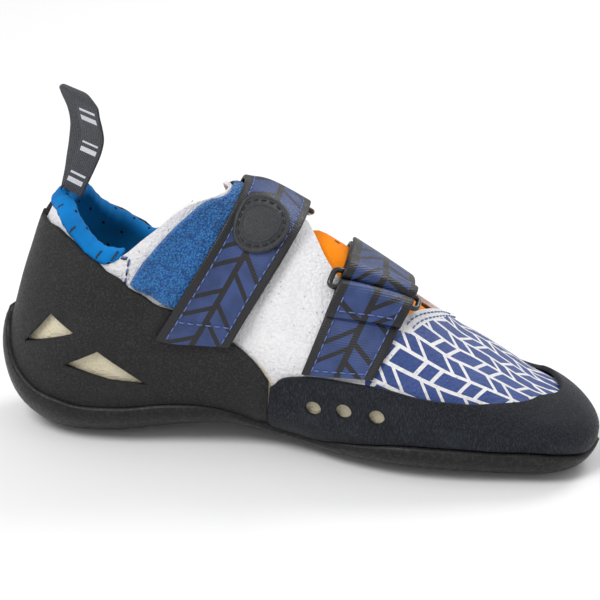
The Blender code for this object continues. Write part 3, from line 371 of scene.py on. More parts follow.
# How finely each piece is drawn: rows, columns, points and steps, and shares of a width in its borders
UPPER_ROWS = (12, 22, 46, 22)
UPPER_COLUMNS = (4, 46, 6, 8, 6, 46, 4)
UPPER_ROUNDS = 4
SOLE_COLUMNS = 26
SOLE_BORDER = (0, 0.08, 0.2, 0.4, 0.7, 1)
TOE_ROWS = 64
TOE_CROWDING = 1.15
HEEL_ROWS = 46
HEEL_CROWDING = 0.9
RAND_COLUMNS = 22
RAND_BORDER = 0.04
BORDER_SPACING = (0, 0.12, 0.35, 0.65)
STRAP_COLUMNS = 22
STRAP_EDGE_BORDER = 0.05
STRAP_ROW_POINTS = 24
TONGUE_GRID = (60, 36)
INSOLE_GRID = (44, 18)
PILE_GRID = (110, 110)
BADGE_SIDES = 64
BADGE_STITCH_POINTS = 96
HOLE_SIDES = 32
RING_SIDES = 14
RING_CORNER_POINTS = 10
RING_BAR_POINTS = 22
LOOP_ROWS = 44
COLLAR_NEAR_ROWS = 54
COLLAR_FAR_ROWS = 62
PAD_BACK_STEPS = 8
WRAP_STEPS = 9
CURVE_STEPS = 12
EDGE_STEPS = 300
WAY_COLUMNS = 25
WAY_LINES = 260
WAY_TURNS = 321
WAY_HALVINGS = 26
SHARP_ANGLE = 50
TURN_GIRTH = 0.115
# How far in from its edge a piece is rounded off, and the share of its thickness that it keeps there
EDGE_ROUND = (0.0007, 0.25)
SOLE_ROUND = (0.0006, 0.72)
RAND_ROUND = (0.0007, 0.4)
STRAP_ROUND = (0.0009, 0.45)
PILE_ROUND = (0.0012, 0.15)
# The rands' edges that are rounded off, all but the one against the sole
RAND_OPEN_SIDES = (True, True, False, True)

# Stitches and seams: the rows at the throat are stations before its edge, and the ties are girths
STITCH_LENGTH = 0.0025
STITCH_GAP = 0.0009
STITCH_RADIUS = 0.00034
STITCH_INSET = 0.0036
STITCH_STAND = 0.4
# One stitch from end to end: share of its length, then its lift and radius as shares of STITCH_RADIUS
STITCH_SHAPE = ((0.0, -1.0, 0.3), (0.12, 0.1, 0.9), (0.5, 0.55, 1.0), (0.88, 0.1, 0.9), (1.0, -1.0, 0.3))
STITCH_SIDES = 6
# Rows of stitches on the straps: along both edges between two points of the strap's path, or across it at
# one point, on its upper face for 1 and its lower one for -1
# kind, first point, end point, face
STRAP_STITCHES = {
    "rear_strap": (("edges", 1, 58, 1), ("across", 7, 0, 1)),
    "rear_anchor": (("edges", 40, 52, 1), ("edges", 1, 20, -1)),
    "front_strap": (("edges", 54, 88, -1), ("across", 60, 0, -1)),
    "front_anchor": (
        ("edges", 1, 24, 1),
        ("edges", 42, 52, -1),
        ("across", 50, 0, -1),
        ("across", 2, 0, 1),
    ),
}
SEAM_LIFT = 0.00015
THROAT_SEAMS = (0.009, 0.019)
THROAT_SEAM_TURNS = (-0.145, 0.275)
THROAT_SEAM_POINTS = 70
COLLAR_SEAM_POINTS = 30
COLLAR_SEAM = ((0.952, 0.520), (0.945, 0.545), (0.933, 0.566), (0.912, 0.567), (0.892, 0.562))
SEAM_SCALE = 1.1
SEAM_APART = 0.0009
TIES = (0.15, 0.27, 0.42, 0.49)
TIE_ANGLES = (-30.0, 50.0)
TIE_STEPS = 8
TIE_SLANT = 0.02
BACK_SEAM = (0.989, 0.999)

# The collar's padding, fuller than the solid's
PAD_MIDDLE = (-0.0026, 0.0008)
PAD_SIZE = (0.0044, 0.0042)
PAD_START_ANGLE = -45
PAD_ANGLE_STEP = 15
PAD_END_SHARE = 0.45
PAD_END_RUN = 0.007
PAD_PUCKERS = ((0.0052, 0.030), (0.0031, 0.015))
# Down its back the padding thins to the lining: how fast, and the power of its curve
PAD_BACK_RATE = 3
PAD_BACK_POWER = 0.7

# The pile's loops: depth, size and seed of each wave in its face, and of the one in its ragged outline
PILE_WAVES = ((0.00022, 0.0016, 5), (0.00012, 0.0009, 6))
PILE_RAGGED = (0.0004, 0.003, 7)
# Each is a sum of waves, their sizes spread between two shares of its own, divided by their usual height
WAVE_COUNT = 9
WAVE_SPREAD = (0.6, 1.6)
WAVE_SUM = 4
PILE_WAVE_ROOM = 0.0003

# Where the print on the upper ends, as turns and stations, and how far inside a rand's edge leather is bare
PRINT_END = (
    (-1.00, 0.395),
    (-0.22, 0.395),
    (-0.17, 0.322),
    (-0.10, 0.306),
    (-0.03, 0.292),
    (0.06, 0.274),
    (0.28, 0.250),
    (0.37, 0.300),
    (1.00, 0.395),
)
COVERED_MARGIN = 0.012
HEEL_MARGIN = 0.014
TOE_MARGIN = 0.010

# The toe rand's grain is drawn out upwards
BRUSHED = (1.6, 1.6, 0.35)

# Soft dents and creases in the upper: the station and turn of a crease's middle, its half length and half
# width over the last, the angle of its run from the shoe's length, and its depth
CREASES = (
    (0.800, -0.250, 0.016, 0.0040, 60.0, 0.0007),
    (0.600, -0.300, 0.020, 0.0050, 70.0, 0.0006),
    (0.560, -0.430, 0.014, 0.0040, 20.0, 0.0005),
    (0.640, -0.420, 0.012, 0.0035, -30.0, 0.0004),
    (0.250, -0.180, 0.018, 0.0050, 85.0, 0.0004),
    (0.230, 0.150, 0.020, 0.0050, 95.0, 0.0005),
    (0.560, 0.420, 0.018, 0.0045, 40.0, 0.0006),
    (0.650, 0.330, 0.016, 0.0045, 75.0, 0.0006),
)
# Beside a crease the upper stands up: share of its depth, and distance from its run in half widths
CREASE_LIP = 0.45
CREASE_LIP_PLACE = 2.0

SECTION_ANGLES = np.linspace(0, np.pi / 2, 65)
# A small step over the last, points closer than this are one, and the least station and run that divide
PROBE = 0.002
MERGE_DISTANCE = 1e-6
LEAST_STATION = 1e-6
LEAST_RUN = 1e-12
# What is taken off a grid's count so that a place on its last line still falls in its last cell
LAST_CELL = 1.001

# The floor
FLOOR_HALF = 4.0
FLOOR_DROP = 0.0002


# The last


def smooth_table(table, wanted):
    """A table's later columns, read at values of its first one with smooth slopes."""
    table = np.asarray(table, float)
    steps, values = table[:, 0], table[:, 1:]
    run = np.diff(steps)[:, None]
    rise = np.diff(values, axis=0) / run
    slope = np.empty_like(values)
    slope[1:-1] = (rise[:-1] * run[1:] + rise[1:] * run[:-1]) / (run[1:] + run[:-1])
    slope[0], slope[-1] = rise[0], rise[-1]
    wanted = np.clip(wanted, steps[0], steps[-1])
    row = np.clip(np.searchsorted(steps, wanted) - 1, 0, len(steps) - 2)
    h = run[row]
    t = (wanted - steps[row])[:, None] / h
    return (
        (2 * t**3 - 3 * t**2 + 1) * values[row]
        + (t**3 - 2 * t**2 + t) * h * slope[row]
        + (3 * t**2 - 2 * t**3) * values[row + 1]
        + (t**3 - t**2) * h * slope[row + 1]
    )


def distance_along(points):
    """Each point's distance from the first, along a line of points."""
    return np.concatenate([[0], np.cumsum(np.linalg.norm(np.diff(points, axis=0), axis=1))])


def read_at(wanted, steps, values):
    """The columns of values read at wanted steps, with straight lines between."""
    return np.column_stack([np.interp(wanted, steps, column) for column in values.T])


def unit(vectors):
    return vectors / np.linalg.norm(vectors, axis=-1)[..., None]


def eased(share):
    """Shares from 0 to 1 with a soft start and end."""
    return share * share * (3 - 2 * share)


def last_table():
    table = np.array(LAST_SECTIONS)
    table[:, [1, 3]] *= LAST_LENGTH
    table[:, [2, 4]] *= INSTEP_HEIGHT
    table[:, 5:9] *= BALL_WIDTH
    return table


LAST_TABLE = last_table()


def last_at(places):
    """Points of the last at places in its disk."""
    station = np.clip(np.hypot(places[:, 0], places[:, 1]), LEAST_STATION, 1)
    girth = np.arctan2(np.abs(places[:, 0]), -places[:, 1]) / np.pi
    columns = smooth_table(LAST_TABLE, station).T
    top_x, top_z, low_x, low_z, near, far, ridge, keel, widest, crown, floor = columns
    side = np.where(places[:, 0] < 0, near, far)
    in_nose = station < NOSE_STATION
    turn = np.cos(np.clip(station / NOSE_STATION, 0, 1) * np.pi / 2)
    grow = (1 - turn**NOSE_POWER) ** (1 / NOSE_POWER)
    nose_x = LAST_TABLE[1, 1] + NOSE_REACH * LAST_LENGTH * turn
    top_x, low_x = (np.where(in_nose, nose_x, x) for x in (top_x, low_x))
    centre_y, centre_z = NOSE_CENTRE_Y * BALL_WIDTH, NOSE_CENTRE_Z * INSTEP_HEIGHT
    top_z, low_z = (centre_z + (z - centre_z) * grow for z in (top_z, low_z))
    side, ridge, keel = (centre_y + (y - centre_y) * grow for y in (side, ridge, keel))
    side, ridge, keel, widest, crown, floor = (
        value[:, None] for value in (side, ridge, keel, widest, crown, floor)
    )
    sine, cosine = np.sin(SECTION_ANGLES), np.cos(SECTION_ANGLES)
    below_y = keel + (side - keel) * sine ** (2 / floor)
    below_rise = widest * (1 - cosine ** (2 / floor))
    above_y = ridge + (side - ridge) * cosine ** (2 / crown)
    above_rise = widest + (1 - widest) * sine ** (2 / crown)
    y = np.hstack([below_y, above_y[:, 1:]])
    rise = np.hstack([below_rise, above_rise[:, 1:]])
    x = low_x[:, None] + (top_x - low_x)[:, None] * rise
    z = low_z[:, None] + (top_z - low_z)[:, None] * rise
    line = np.stack([x, y, z], -1)
    reach = np.cumsum(np.linalg.norm(np.diff(line, axis=1), axis=2), axis=1)
    reach = np.hstack([np.zeros((len(line), 1)), reach])
    wanted = girth * reach[:, -1]
    column = np.clip((reach < wanted[:, None]).sum(axis=1) - 1, 0, reach.shape[1] - 2)
    rows = np.arange(len(line))
    before, after = reach[rows, column], reach[rows, column + 1]
    share = np.clip((wanted - before) / np.maximum(after - before, LEAST_RUN), 0, 1)[:, None]
    return line[rows, column] * (1 - share) + line[rows, column + 1] * share


def tangents(places):
    """The last's two directions at places, each over a small step to either side."""
    return [last_at(places + step) - last_at(places - step) for step in np.eye(2) * PROBE]


def last_normals(places):
    return unit(np.cross(*tangents(places)))


SEAT = RUBBER_PLAY + SOLE_THICKNESS - GRIND
SHOE_ORIGIN = np.array([HEEL_SEAT_X * LAST_LENGTH, 0, -SEAT])


def on_last(places, lift):
    """Points of the shoe over places of the last, lifted off it along its normals."""
    flat = places.reshape(-1, 2)
    lift = np.broadcast_to(lift, places.shape[:-1]).reshape(-1, 1)
    points = last_at(flat) + last_normals(flat) * lift - SHOE_ORIGIN
    return points.reshape(*places.shape[:-1], 3)


def place(station, turn):
    """A place from its station and its turn: 0 is the ridge, -1 and 1 the keel by the near and far side."""
    angle = np.pi * (1 - np.abs(turn))
    side = np.where(np.asarray(turn) < 0, -1.0, 1.0)
    return np.stack([station * np.sin(angle) * side, -station * np.cos(angle)], -1)


def girth_place(station, girth, side):
    return place(np.asarray(station, float), side * (1 - np.asarray(girth, float)))


def curve(points, count, crowding=1.0, start=0, end=-1, samples=None):
    """A smooth curve of places through the given ones, in even steps or crowded at its start."""
    chord = distance_along(points)
    fine = np.linspace(chord[start], chord[end], samples or CURVE_STEPS * len(points))
    places = smooth_table(np.column_stack([chord, points]), fine)
    reach = distance_along(last_at(places))
    return read_at(reach[-1] * np.linspace(0, 1, count) ** crowding, reach, places)


def shifted(places, distance):
    """A curve of places moved sideways over the last, to the left of its run, by a real distance."""
    run = np.gradient(last_at(places), axis=0)
    aside = unit(np.cross(last_normals(places), run))
    sideways, lengthways = (way / (2 * PROBE) for way in tangents(places))
    moved = places.copy()
    for k in range(len(places)):
        jacobian = np.column_stack([sideways[k], lengthways[k]])
        moved[k] += np.linalg.lstsq(jacobian, aside[k] * distance, rcond=None)[0]
    return moved


def across(first, second, shares):
    """Rows of places from one curve to another, by station and angle round the keel."""
    shares = np.asarray(shares)[None, :]
    radius = [np.hypot(line[:, 0], line[:, 1])[:, None] for line in (first, second)]
    angle = [np.arctan2(line[:, 0], -line[:, 1])[:, None] for line in (first, second)]
    r = radius[0] + (radius[1] - radius[0]) * shares
    a = angle[0] + (angle[1] - angle[0]) * shares
    return np.stack([r * np.sin(a), -r * np.cos(a)], -1)


def between(first, second, shares):
    """Rows of places from one curve to another on the same side, straight near the toe's tip."""
    direct = first[:, None] + (second - first)[:, None] * np.asarray(shares)[None, :, None]
    nearest = np.minimum(np.linalg.norm(first, axis=1), np.linalg.norm(second, axis=1))
    blend = np.clip((nearest - NOSE_STATION) / NOSE_STATION, 0, 1)
    blend = eased(blend)[:, None, None]
    return direct * (1 - blend) + across(first, second, shares) * blend


def collar_station(turn):
    """The collar edge's station at turns."""
    near_far = smooth_table(COLLAR_EDGE, 1 - np.abs(turn))
    return np.where(turn < 0, near_far[:, 0], near_far[:, 1])


def lasted_girth(station):
    return LASTED_SHARE * smooth_table(INSOLE_EDGE, station)[:, 0]


def spread(counts):
    """For grid lines between knots, each line's knot and its share of the way to the next."""
    lines = [(knot, k / count) for knot, count in enumerate(counts) for k in range(count)]
    lines.append((len(counts) - 1, 1.0))
    return np.array([line[0] for line in lines]), np.array([line[1] for line in lines])


def bell(values, low, high, ramp):
    """1 well between low and high, falling smoothly to 0 at them."""
    return eased(np.clip(np.minimum(values - low, high - values) / ramp, 0, 1))


def sole_edge(side, start, end, count, crowding):
    """The outsole's edge between two rows of its table."""
    station, near, far = np.array(SOLE_EDGE).T
    places = girth_place(station, near if side < 0 else far, side)
    return curve(places, count, crowding, start, end, EDGE_STEPS)


def toe_edge(side):
    return sole_edge(side, 0, SEAM_ROW, TOE_ROWS, TOE_CROWDING)


def heel_edge(side):
    return sole_edge(side, SEAM_ROW, -1, HEEL_ROWS, HEEL_CROWDING)


def strip(shape):
    """A strap's way over the last: places on a grid of distances along it and shares of its width.

    The distance is 0 on its ring's line and grows from the near side to the far one."""
    shares = np.linspace(*WAY_SHARES, WAY_COLUMNS)
    turns = np.linspace(-WAY_TURN, WAY_TURN, WAY_TURNS)
    run = shape["width"] / np.sin(np.radians(shape["rear"]))
    columns = []
    for share in shares:
        lean = np.radians(shape["rear"] + (shape["front"] - shape["rear"]) * share)
        foot = shape["x"] * LAST_LENGTH + share * run
        low, high = (np.full(len(turns), station) for station in WAY_STATIONS)
        for _ in range(WAY_HALVINGS):
            middle = (low + high) / 2
            point = last_at(place(middle, turns))
            ahead = (point[:, 0] - foot) * np.sin(lean)
            ahead -= (point[:, 2] - shape["z"] * INSTEP_HEIGHT) * np.cos(lean)
            low, high = np.where(ahead > 0, middle, low), np.where(ahead > 0, high, middle)
        places = place((low + high) / 2, turns)
        points, normals = on_last(places, 0), last_normals(places)
        reach = distance_along(points + normals * WEBBING_THICKNESS)
        ring_turn = shape["ring"][0] + (shape["ring"][1] - shape["ring"][0]) * share
        reach -= np.interp(ring_turn, turns, reach)
        columns.append((reach, points, normals))
    first = max(reach[0] for reach, _, _ in columns)
    last = min(reach[-1] for reach, _, _ in columns)
    along = np.linspace(first, last, WAY_LINES)
    grid = [read_at(along, reach, np.hstack([points, normals])) for reach, points, normals in columns]
    return {"shares": shares, "along": along, "grid": np.array(grid)}


def lay(way, share, along, lift):
    """Points over a strap's way, by share of its width, distance along it and height over the last."""
    share, along, lift = np.broadcast_arrays(share, along, lift)
    i = (share - way["shares"][0]) / (way["shares"][1] - way["shares"][0])
    j = (along - way["along"][0]) / (way["along"][1] - way["along"][0])
    i, j = np.clip(i, 0, len(way["shares"]) - LAST_CELL), np.clip(j, 0, len(way["along"]) - LAST_CELL)
    a, b = i.astype(int), j.astype(int)
    s, t = (i - a)[..., None], (j - b)[..., None]
    grid = way["grid"]
    row = grid[a, b] * (1 - s) * (1 - t) + grid[a + 1, b] * s * (1 - t)
    row = row + grid[a, b + 1] * (1 - s) * t + grid[a + 1, b + 1] * s * t
    return row[..., :3] + unit(row[..., 3:]) * lift[..., None]


def thick_path(path, thickness):
    """The closed outline of a strip whose middle runs along a path of (along, lift) points."""
    run = np.gradient(path, axis=0)
    aside = unit(np.column_stack([-run[:, 1], run[:, 0]]))
    return np.vstack([path + aside * thickness / 2, (path - aside * thickness / 2)[::-1]])


def wrap_arc(centre, first, last):
    """The strip's turn round a ring's bar, by angles in degrees from the far direction."""
    angles = np.radians(np.linspace(first, last, WRAP_STEPS))
    return [(centre + WRAP_RADIUS * np.cos(a), BAR_LIFT + WRAP_RADIUS * np.sin(a)) for a in angles]


def straight(start, end, first_lift, last_lift, count):
    share = np.linspace(0, 1, count)
    return list(zip(start + (end - start) * share, first_lift + (last_lift - first_lift) * eased(share)))


# Meshes


def merged(points):
    """The first point of each set of equal ones, and the number of each point's set."""
    whole = np.round(points / MERGE_DISTANCE)
    _, first, back = np.unique(whole, axis=0, return_index=True, return_inverse=True)
    return first, back.reshape(-1)


def faces_on(index, faces):
    """Faces with their corners numbered anew, without equal corners and without faces left with two."""
    found = []
    for face in faces:
        corners = [int(index[v]) for v in face]
        corners = tuple(v for k, v in enumerate(corners) if v != corners[k - 1])
        if len(set(corners)) > 2:
            found.append(corners)
    return found


def linked(name, data):
    """A new object in the scene, with a mesh, a camera or a light for its data."""
    thing = bpy.data.objects.new(name, data)
    bpy.context.scene.collection.objects.link(thing)
    return thing


def outward_mesh(name, points, faces, finish):
    """A smooth mesh with its faces turned outward."""
    mesh = bpy.data.meshes.new(name)
    mesh.from_pydata(points.tolist(), [], faces)
    work = bmesh.new()
    work.from_mesh(mesh)
    bmesh.ops.recalc_face_normals(work, faces=work.faces)
    if work.calc_volume(signed=True) < 0:
        bmesh.ops.reverse_faces(work, faces=work.faces)
    work.to_mesh(mesh)
    work.free()
    mesh.shade_smooth()
    mesh.materials.append(finish)
    return mesh


def bare(name, points, faces, finish, flat=None, mask=None):
    """A mesh object from points and faces, with equal points merged and its attributes kept."""
    first, back = merged(points)
    kept = faces_on(back, faces)
    used = np.unique(np.concatenate(kept))
    number = np.full(len(first), -1)
    number[used] = np.arange(len(used))
    source = first[used]
    mesh = outward_mesh(name, points[source], faces_on(number, kept), finish)
    if flat is not None:
        values = np.zeros((len(source), 3), np.float32)
        values[:, :flat.shape[1]] = flat[source]
        mesh.attributes.new("flat", "FLOAT_VECTOR", "POINT").data.foreach_set("vector", values.ravel())
    if mask is not None:
        values = mask[source].astype(np.float32)
        mesh.attributes.new("mask", "FLOAT", "POINT").data.foreach_set("value", values)
    mesh.set_sharp_from_angle(angle=np.radians(SHARP_ANGLE))
    return linked(name, mesh)


def piece(thing, slot, *nodes):
    """The object's own piece: it rides on the one body and stands for CAD nodes, which it hides. slot is not
    used.
    """
    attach(thing, "root")
    if nodes:
        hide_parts(*nodes)
    return thing


def grid_faces(shape, keep=None):
    rows, columns = shape
    faces = []
    for i in range(rows - 1):
        for j in range(columns - 1):
            if keep is None or keep[i, j]:
                corner = i * columns + j
                faces.append((corner, corner + 1, corner + columns + 1, corner + columns))
    return faces


def slab(name, outer, inner, finish, flat, mask=None, keep=None):
    """A closed wall between two grids of points, with a rim along each edge that is left open."""
    points = outer.reshape(-1, 3)
    first, back = merged(points)
    outside = faces_on(first[back], grid_faces(outer.shape[:2], keep))
    shift = len(points)
    inside = [tuple(v + shift for v in reversed(face)) for face in outside]
    edges = {edge for face in outside for edge in zip(face, face[1:] + face[:1])}
    rims = [(b, a, a + shift, b + shift) for a, b in edges if (b, a) not in edges]
    flat = flat.reshape(-1, flat.shape[-1])
    both = np.vstack([points, inner.reshape(-1, 3)])
    mask = None if mask is None else np.concatenate([mask.ravel(), mask.ravel()])
    return bare(name, both, outside + inside + sorted(rims), finish, np.vstack([flat, flat]), mask)


def tube_faces(count, sides, closed=False):
    """Faces between rings of points, closed by the first and last ring or joined into a loop."""
    faces = []
    for i in range(count if closed else count - 1):
        for j in range(sides):
            k, n = (j + 1) % sides, (i + 1) % count
            faces.append((i * sides + j, i * sides + k, n * sides + k, n * sides + j))
    if not closed:
        faces.append(tuple(range(sides)))
        faces.append(tuple((count - 1) * sides + j for j in reversed(range(sides))))
    return faces


def tube_rings(middle, up, aside, radius, sides):
    """Round rings of points about a line, from its two directions across."""
    angles = (np.arange(sides) * 2 * np.pi / sides)[None, :, None]
    return middle[:, None] + radius * (np.cos(angles) * up[:, None] + np.sin(angles) * aside[:, None])


def bars(name, rings, finish, flat=None, closed=False):
    """A solid through rings of points, closed by its first and last ring or joined into a loop."""
    flat = None if flat is None else flat.reshape(-1, flat.shape[-1])
    return bare(name, rings.reshape(-1, 3), tube_faces(*rings.shape[:2], closed), finish, flat)


def steps_along(points, axis):
    """Distances along one direction of a grid of points."""
    run = np.linalg.norm(np.diff(points, axis=axis), axis=2)
    zero = np.zeros_like(np.take(run, [0], axis=axis))
    return np.cumsum(np.concatenate([zero, run], axis=axis), axis=axis)


def edge_shares(count, border):
    """Shares from 0 to 1, with closer ones inside each end's border."""
    inner = np.linspace(border, 1 - border, count)
    near = border * np.array(BORDER_SPACING)
    return np.concatenate([near, inner, 1 - near[::-1]])


def rounded(distance, radius_and_least=EDGE_ROUND):
    """The share of its thickness that a piece has at a distance from its edge."""
    radius, least = radius_and_least
    share = np.clip(distance / radius, 0, 1)
    return least + (1 - least) * np.sqrt(np.clip(1 - (1 - share) ** 2, 0, 1))


def open_edge_distance(points, sides=(True, True, True, True)):
    """Each grid point's distance to the nearest of the grid's four edges that count."""
    down, over = steps_along(points, 0), steps_along(points, 1)
    ways = (down, down[-1:] - down, over, over[:, -1:] - over)
    return np.min([way for way, counts in zip(ways, sides) if counts], axis=0)


def wobble(points, size, seed):
    """Smooth noise from -1 to 1 in space, from a few turned waves with fixed phases."""
    state = np.random.default_rng(seed)
    total = np.zeros(points.shape[:-1])
    for _ in range(WAVE_COUNT):
        way = unit(state.normal(size=3))
        scale = size * state.uniform(*WAVE_SPREAD)
        total += np.sin(points @ way * 2 * np.pi / scale + state.uniform(0, 2 * np.pi))
    return total / WAVE_SUM


# Materials


class Finish:
    """A material's node tree, built by short calls. Sizes in it are in metres."""

    def __init__(self, name):
        self.material = bpy.data.materials.new(name)
        self.material.use_nodes = True
        self.nodes = self.material.node_tree.nodes
        self.links = self.material.node_tree.links
        self.shader = self.nodes["Principled BSDF"]

    def add(self, kind, settings=None, **inputs):
        node = self.nodes.new(kind)
        for key, value in (settings or {}).items():
            setattr(node, key, value)
        for key, value in inputs.items():
            socket = int(key[1:]) if key[0] == "_" else key.replace("_", " ")
            self.put(node.inputs[socket], value)
        return node

    def put(self, socket, value):
        if isinstance(value, bpy.types.NodeSocket):
            self.links.new(value, socket)
        elif isinstance(value, tuple) and len(value) == 3 and socket.type == "RGBA":
            socket.default_value = (*value, 1.0)
        else:
            socket.default_value = value

    def place(self):
        return self.add("ShaderNodeTexCoord").outputs["Object"]

    def flat(self):
        return self.add("ShaderNodeAttribute", {"attribute_name": "flat"}).outputs["Vector"]

    def mask(self):
        return self.add("ShaderNodeAttribute", {"attribute_name": "mask"}).outputs["Fac"]

    def noise(self, size, detail=3.0, where=None, rough=0.5):
        where = where or self.place()
        node = self.add("ShaderNodeTexNoise", Vector=where, Scale=1 / size, Detail=detail, Roughness=rough)
        return node.outputs["Fac"]

    def cells(self, size, where=None, feature="F1"):
        where = where or self.place()
        node = self.add("ShaderNodeTexVoronoi", {"feature": feature}, Vector=where, Scale=1 / size)
        return node.outputs["Distance"]

    def math(self, operation, a, b=0.0, c=0.0):
        return self.add("ShaderNodeMath", {"operation": operation}, _0=a, _1=b, _2=c).outputs[0]

    def times(self, a, b):
        return self.math("MULTIPLY", a, b)

    def plus(self, a, b):
        return self.math("ADD", a, b)

    def minus(self, a, b):
        return self.math("SUBTRACT", a, b)

    def wave(self, value, pitch):
        return self.math("SINE", self.times(value, 2 * np.pi / pitch))

    def ramp(self, value, low, high, start=0.0, end=1.0, smooth=True):
        kind = "SMOOTHSTEP" if smooth else "LINEAR"
        node = self.add("ShaderNodeMapRange", {"interpolation_type": kind}, _0=value, _1=low, _2=high,
                        _3=start, _4=end)
        return node.outputs[0]

    def fall(self, value, low, high):
        """1 below low and 0 above high."""
        return self.ramp(value, low, high, 1.0, 0.0)

    def window(self, value, low, high, soft):
        """1 between low and high and 0 outside, over soft edges."""
        return self.times(self.ramp(value, low, low + soft), self.fall(value, high, high + soft))

    def mix(self, share, first, second):
        node = self.add("ShaderNodeMix", {"data_type": "RGBA"}, _0=share, _6=first, _7=second)
        return node.outputs[2]

    def bump(self, height, depth, strength=1.0, below=None):
        inputs = {"Height": height, "Distance": depth, "Strength": strength}
        if below is not None:
            inputs["Normal"] = below
        return self.add("ShaderNodeBump", **inputs).outputs["Normal"]

    def split(self, vector):
        return self.add("ShaderNodeSeparateXYZ", Vector=vector).outputs

    def join(self, x, y, z=0.0):
        return self.add("ShaderNodeCombineXYZ", X=x, Y=y, Z=z).outputs[0]

    def finish(self, colour, roughness, normal=None, **fixed):
        self.put(self.shader.inputs["Base Color"], colour)
        self.put(self.shader.inputs["Roughness"], roughness)
        if normal is not None:
            self.put(self.shader.inputs["Normal"], normal)
        for key, value in fixed.items():
            self.put(self.shader.inputs[key.replace("_", " ")], value)
        return self.material


def tread(f, where, length, height, gap, lean):
    """A generic tread of leaning blocks in rows: 1 on a block and 0 in the gaps between them.

    A long and a short block take turns along each row, and every second row leans the other way."""
    x, y, _ = f.split(where)
    row = f.math("FLOOR", f.math("DIVIDE", y, height))
    zigzag = f.math("PINGPONG", y, height)
    along = f.math("MULTIPLY_ADD", zigzag, lean, x)
    along = f.math("MULTIPLY_ADD", f.math("SINE", f.times(row, ROW_TURN)), length * ROW_SHIFT, along)
    cell = f.math("FLOORED_MODULO", along, length)
    split = length * LONG_BLOCK
    cell = f.minus(cell, f.times(f.math("GREATER_THAN", cell, split), split))
    short = f.math("GREATER_THAN", f.math("FLOORED_MODULO", along, length), split)
    end = f.math("MULTIPLY_ADD", short, length * (1 - 2 * LONG_BLOCK), split - gap)
    high = f.math("FLOORED_MODULO", y, height)
    from_side = f.math("ABSOLUTE", f.minus(high, height / 2))
    return f.times(f.math("LESS_THAN", cell, end),
                  f.math("LESS_THAN", from_side, (height - gap) / 2))


def dots(f, where, pitch, radius):
    """1 inside round holes on a staggered grid, and 0 elsewhere."""
    x, y, _ = f.split(where)
    row = f.math("MODULO", f.math("ABSOLUTE", f.math("FLOOR", f.math("DIVIDE", y, pitch))), 2.0)
    x = f.math("MULTIPLY_ADD", row, pitch / 2, x)
    x = f.minus(f.math("FLOORED_MODULO", x, pitch), pitch / 2)
    y = f.minus(f.math("FLOORED_MODULO", y, pitch), pitch / 2)
    far = f.math("SQRT", f.plus(f.times(x, x), f.times(y, y)))
    return f.fall(far, *(radius * share for share in HOLE_EDGE))


WHITE = (0.82, 0.81, 0.82)
WHITE_SHADE = (0.75, 0.74, 0.76)
WHITE_GRAIN = (0.62, 0.62, 0.64)
PORE = (0.22, 0.21, 0.21)
CREAM = (0.66, 0.59, 0.42)
NAVY = (0.026, 0.056, 0.205)
NAVY_LIGHT = (0.040, 0.078, 0.255)
STRAP_NAVY = (0.014, 0.034, 0.120)
STRAP_NAVY_LIGHT = (0.026, 0.052, 0.175)
BLACK = (0.006, 0.006, 0.008)
RUBBER = (0.012, 0.012, 0.0125)
# Each rubber's paler colour is its dust, and also a painted highlight on its raised grain
RUBBER_DUST_AND_SHEEN = (0.040, 0.040, 0.041)
TOE_RUBBER = (0.003, 0.0045, 0.008)
TOE_RUBBER_DUST_AND_SHEEN = (0.034, 0.041, 0.055)
SOLE = (0.007, 0.007, 0.008)
SOLE_DUST_AND_SHEEN = (0.026, 0.026, 0.027)
ORANGE = (0.90, 0.235, 0.002)
ORANGE_LIGHT = (0.96, 0.280, 0.005)
LINING = (0.001, 0.150, 0.440)
LINING_LIGHT = (0.002, 0.195, 0.560)
PILE = (0.004, 0.070, 0.270)
# The pile's lighter blue is a painted highlight on the raised middles of its loops
PILE_PAINTED_HIGHLIGHT = (0.040, 0.230, 0.560)
PILE_DARK = (0.001, 0.018, 0.085)
BADGE_GREY = (0.034, 0.036, 0.040)
# The badge's paler colour is its dust, and also a painted highlight on its raised grain
BADGE_DUST_AND_SHEEN = (0.060, 0.062, 0.067)
WEB_GREY = (0.018, 0.021, 0.027)
WEB_LIGHT = (0.045, 0.050, 0.060)
PALE = (0.55, 0.56, 0.60)
BOARD = (0.20, 0.20, 0.21)
BOARD_LIGHT = (0.28, 0.28, 0.29)
BLUE_THREAD = (0.110, 0.170, 0.420)
BLACK_THREAD = (0.012, 0.012, 0.016)
PLASTIC = (0.012, 0.012, 0.014)
FLOOR = (0.86, 0.86, 0.86)

# The prints: a long block's share of its pair, the rows' shifts as an angle and a share of a pair, a
# pair's length and a row's height, the gap between blocks and how far they lean
LONG_BLOCK = 0.63
ROW_TURN = 2.4
ROW_SHIFT = 0.4
PRINT_LENGTH = 0.0200
PRINT_HEIGHT = 0.0092
PRINT_GAP = 0.0018
PRINT_LEAN = 0.60
STRAP_PRINT_LENGTH = 0.0230
STRAP_PRINT_GAP = 0.0024
STRAP_PRINT_LEAN = -0.80
STRAP_BORDER = 0.0022
STRAP_BORDER_SOFT = 0.0003
# Where the edge of a round perforation fades, as shares of its radius, and the rubber's pits, in grains
HOLE_EDGE = (0.85, 1.1)
PIT_SPACING = 2.2
# The loop's pale bars, a wide and a thin one along each period: their half length and soft edge
LOOP_BAR_PERIOD = 0.0150
LOOP_BARS = ((0.0040, 0.0062), (0.0080, 0.0090))
LOOP_BAR_HALF = 0.0052
LOOP_BAR_SOFT = 0.0002


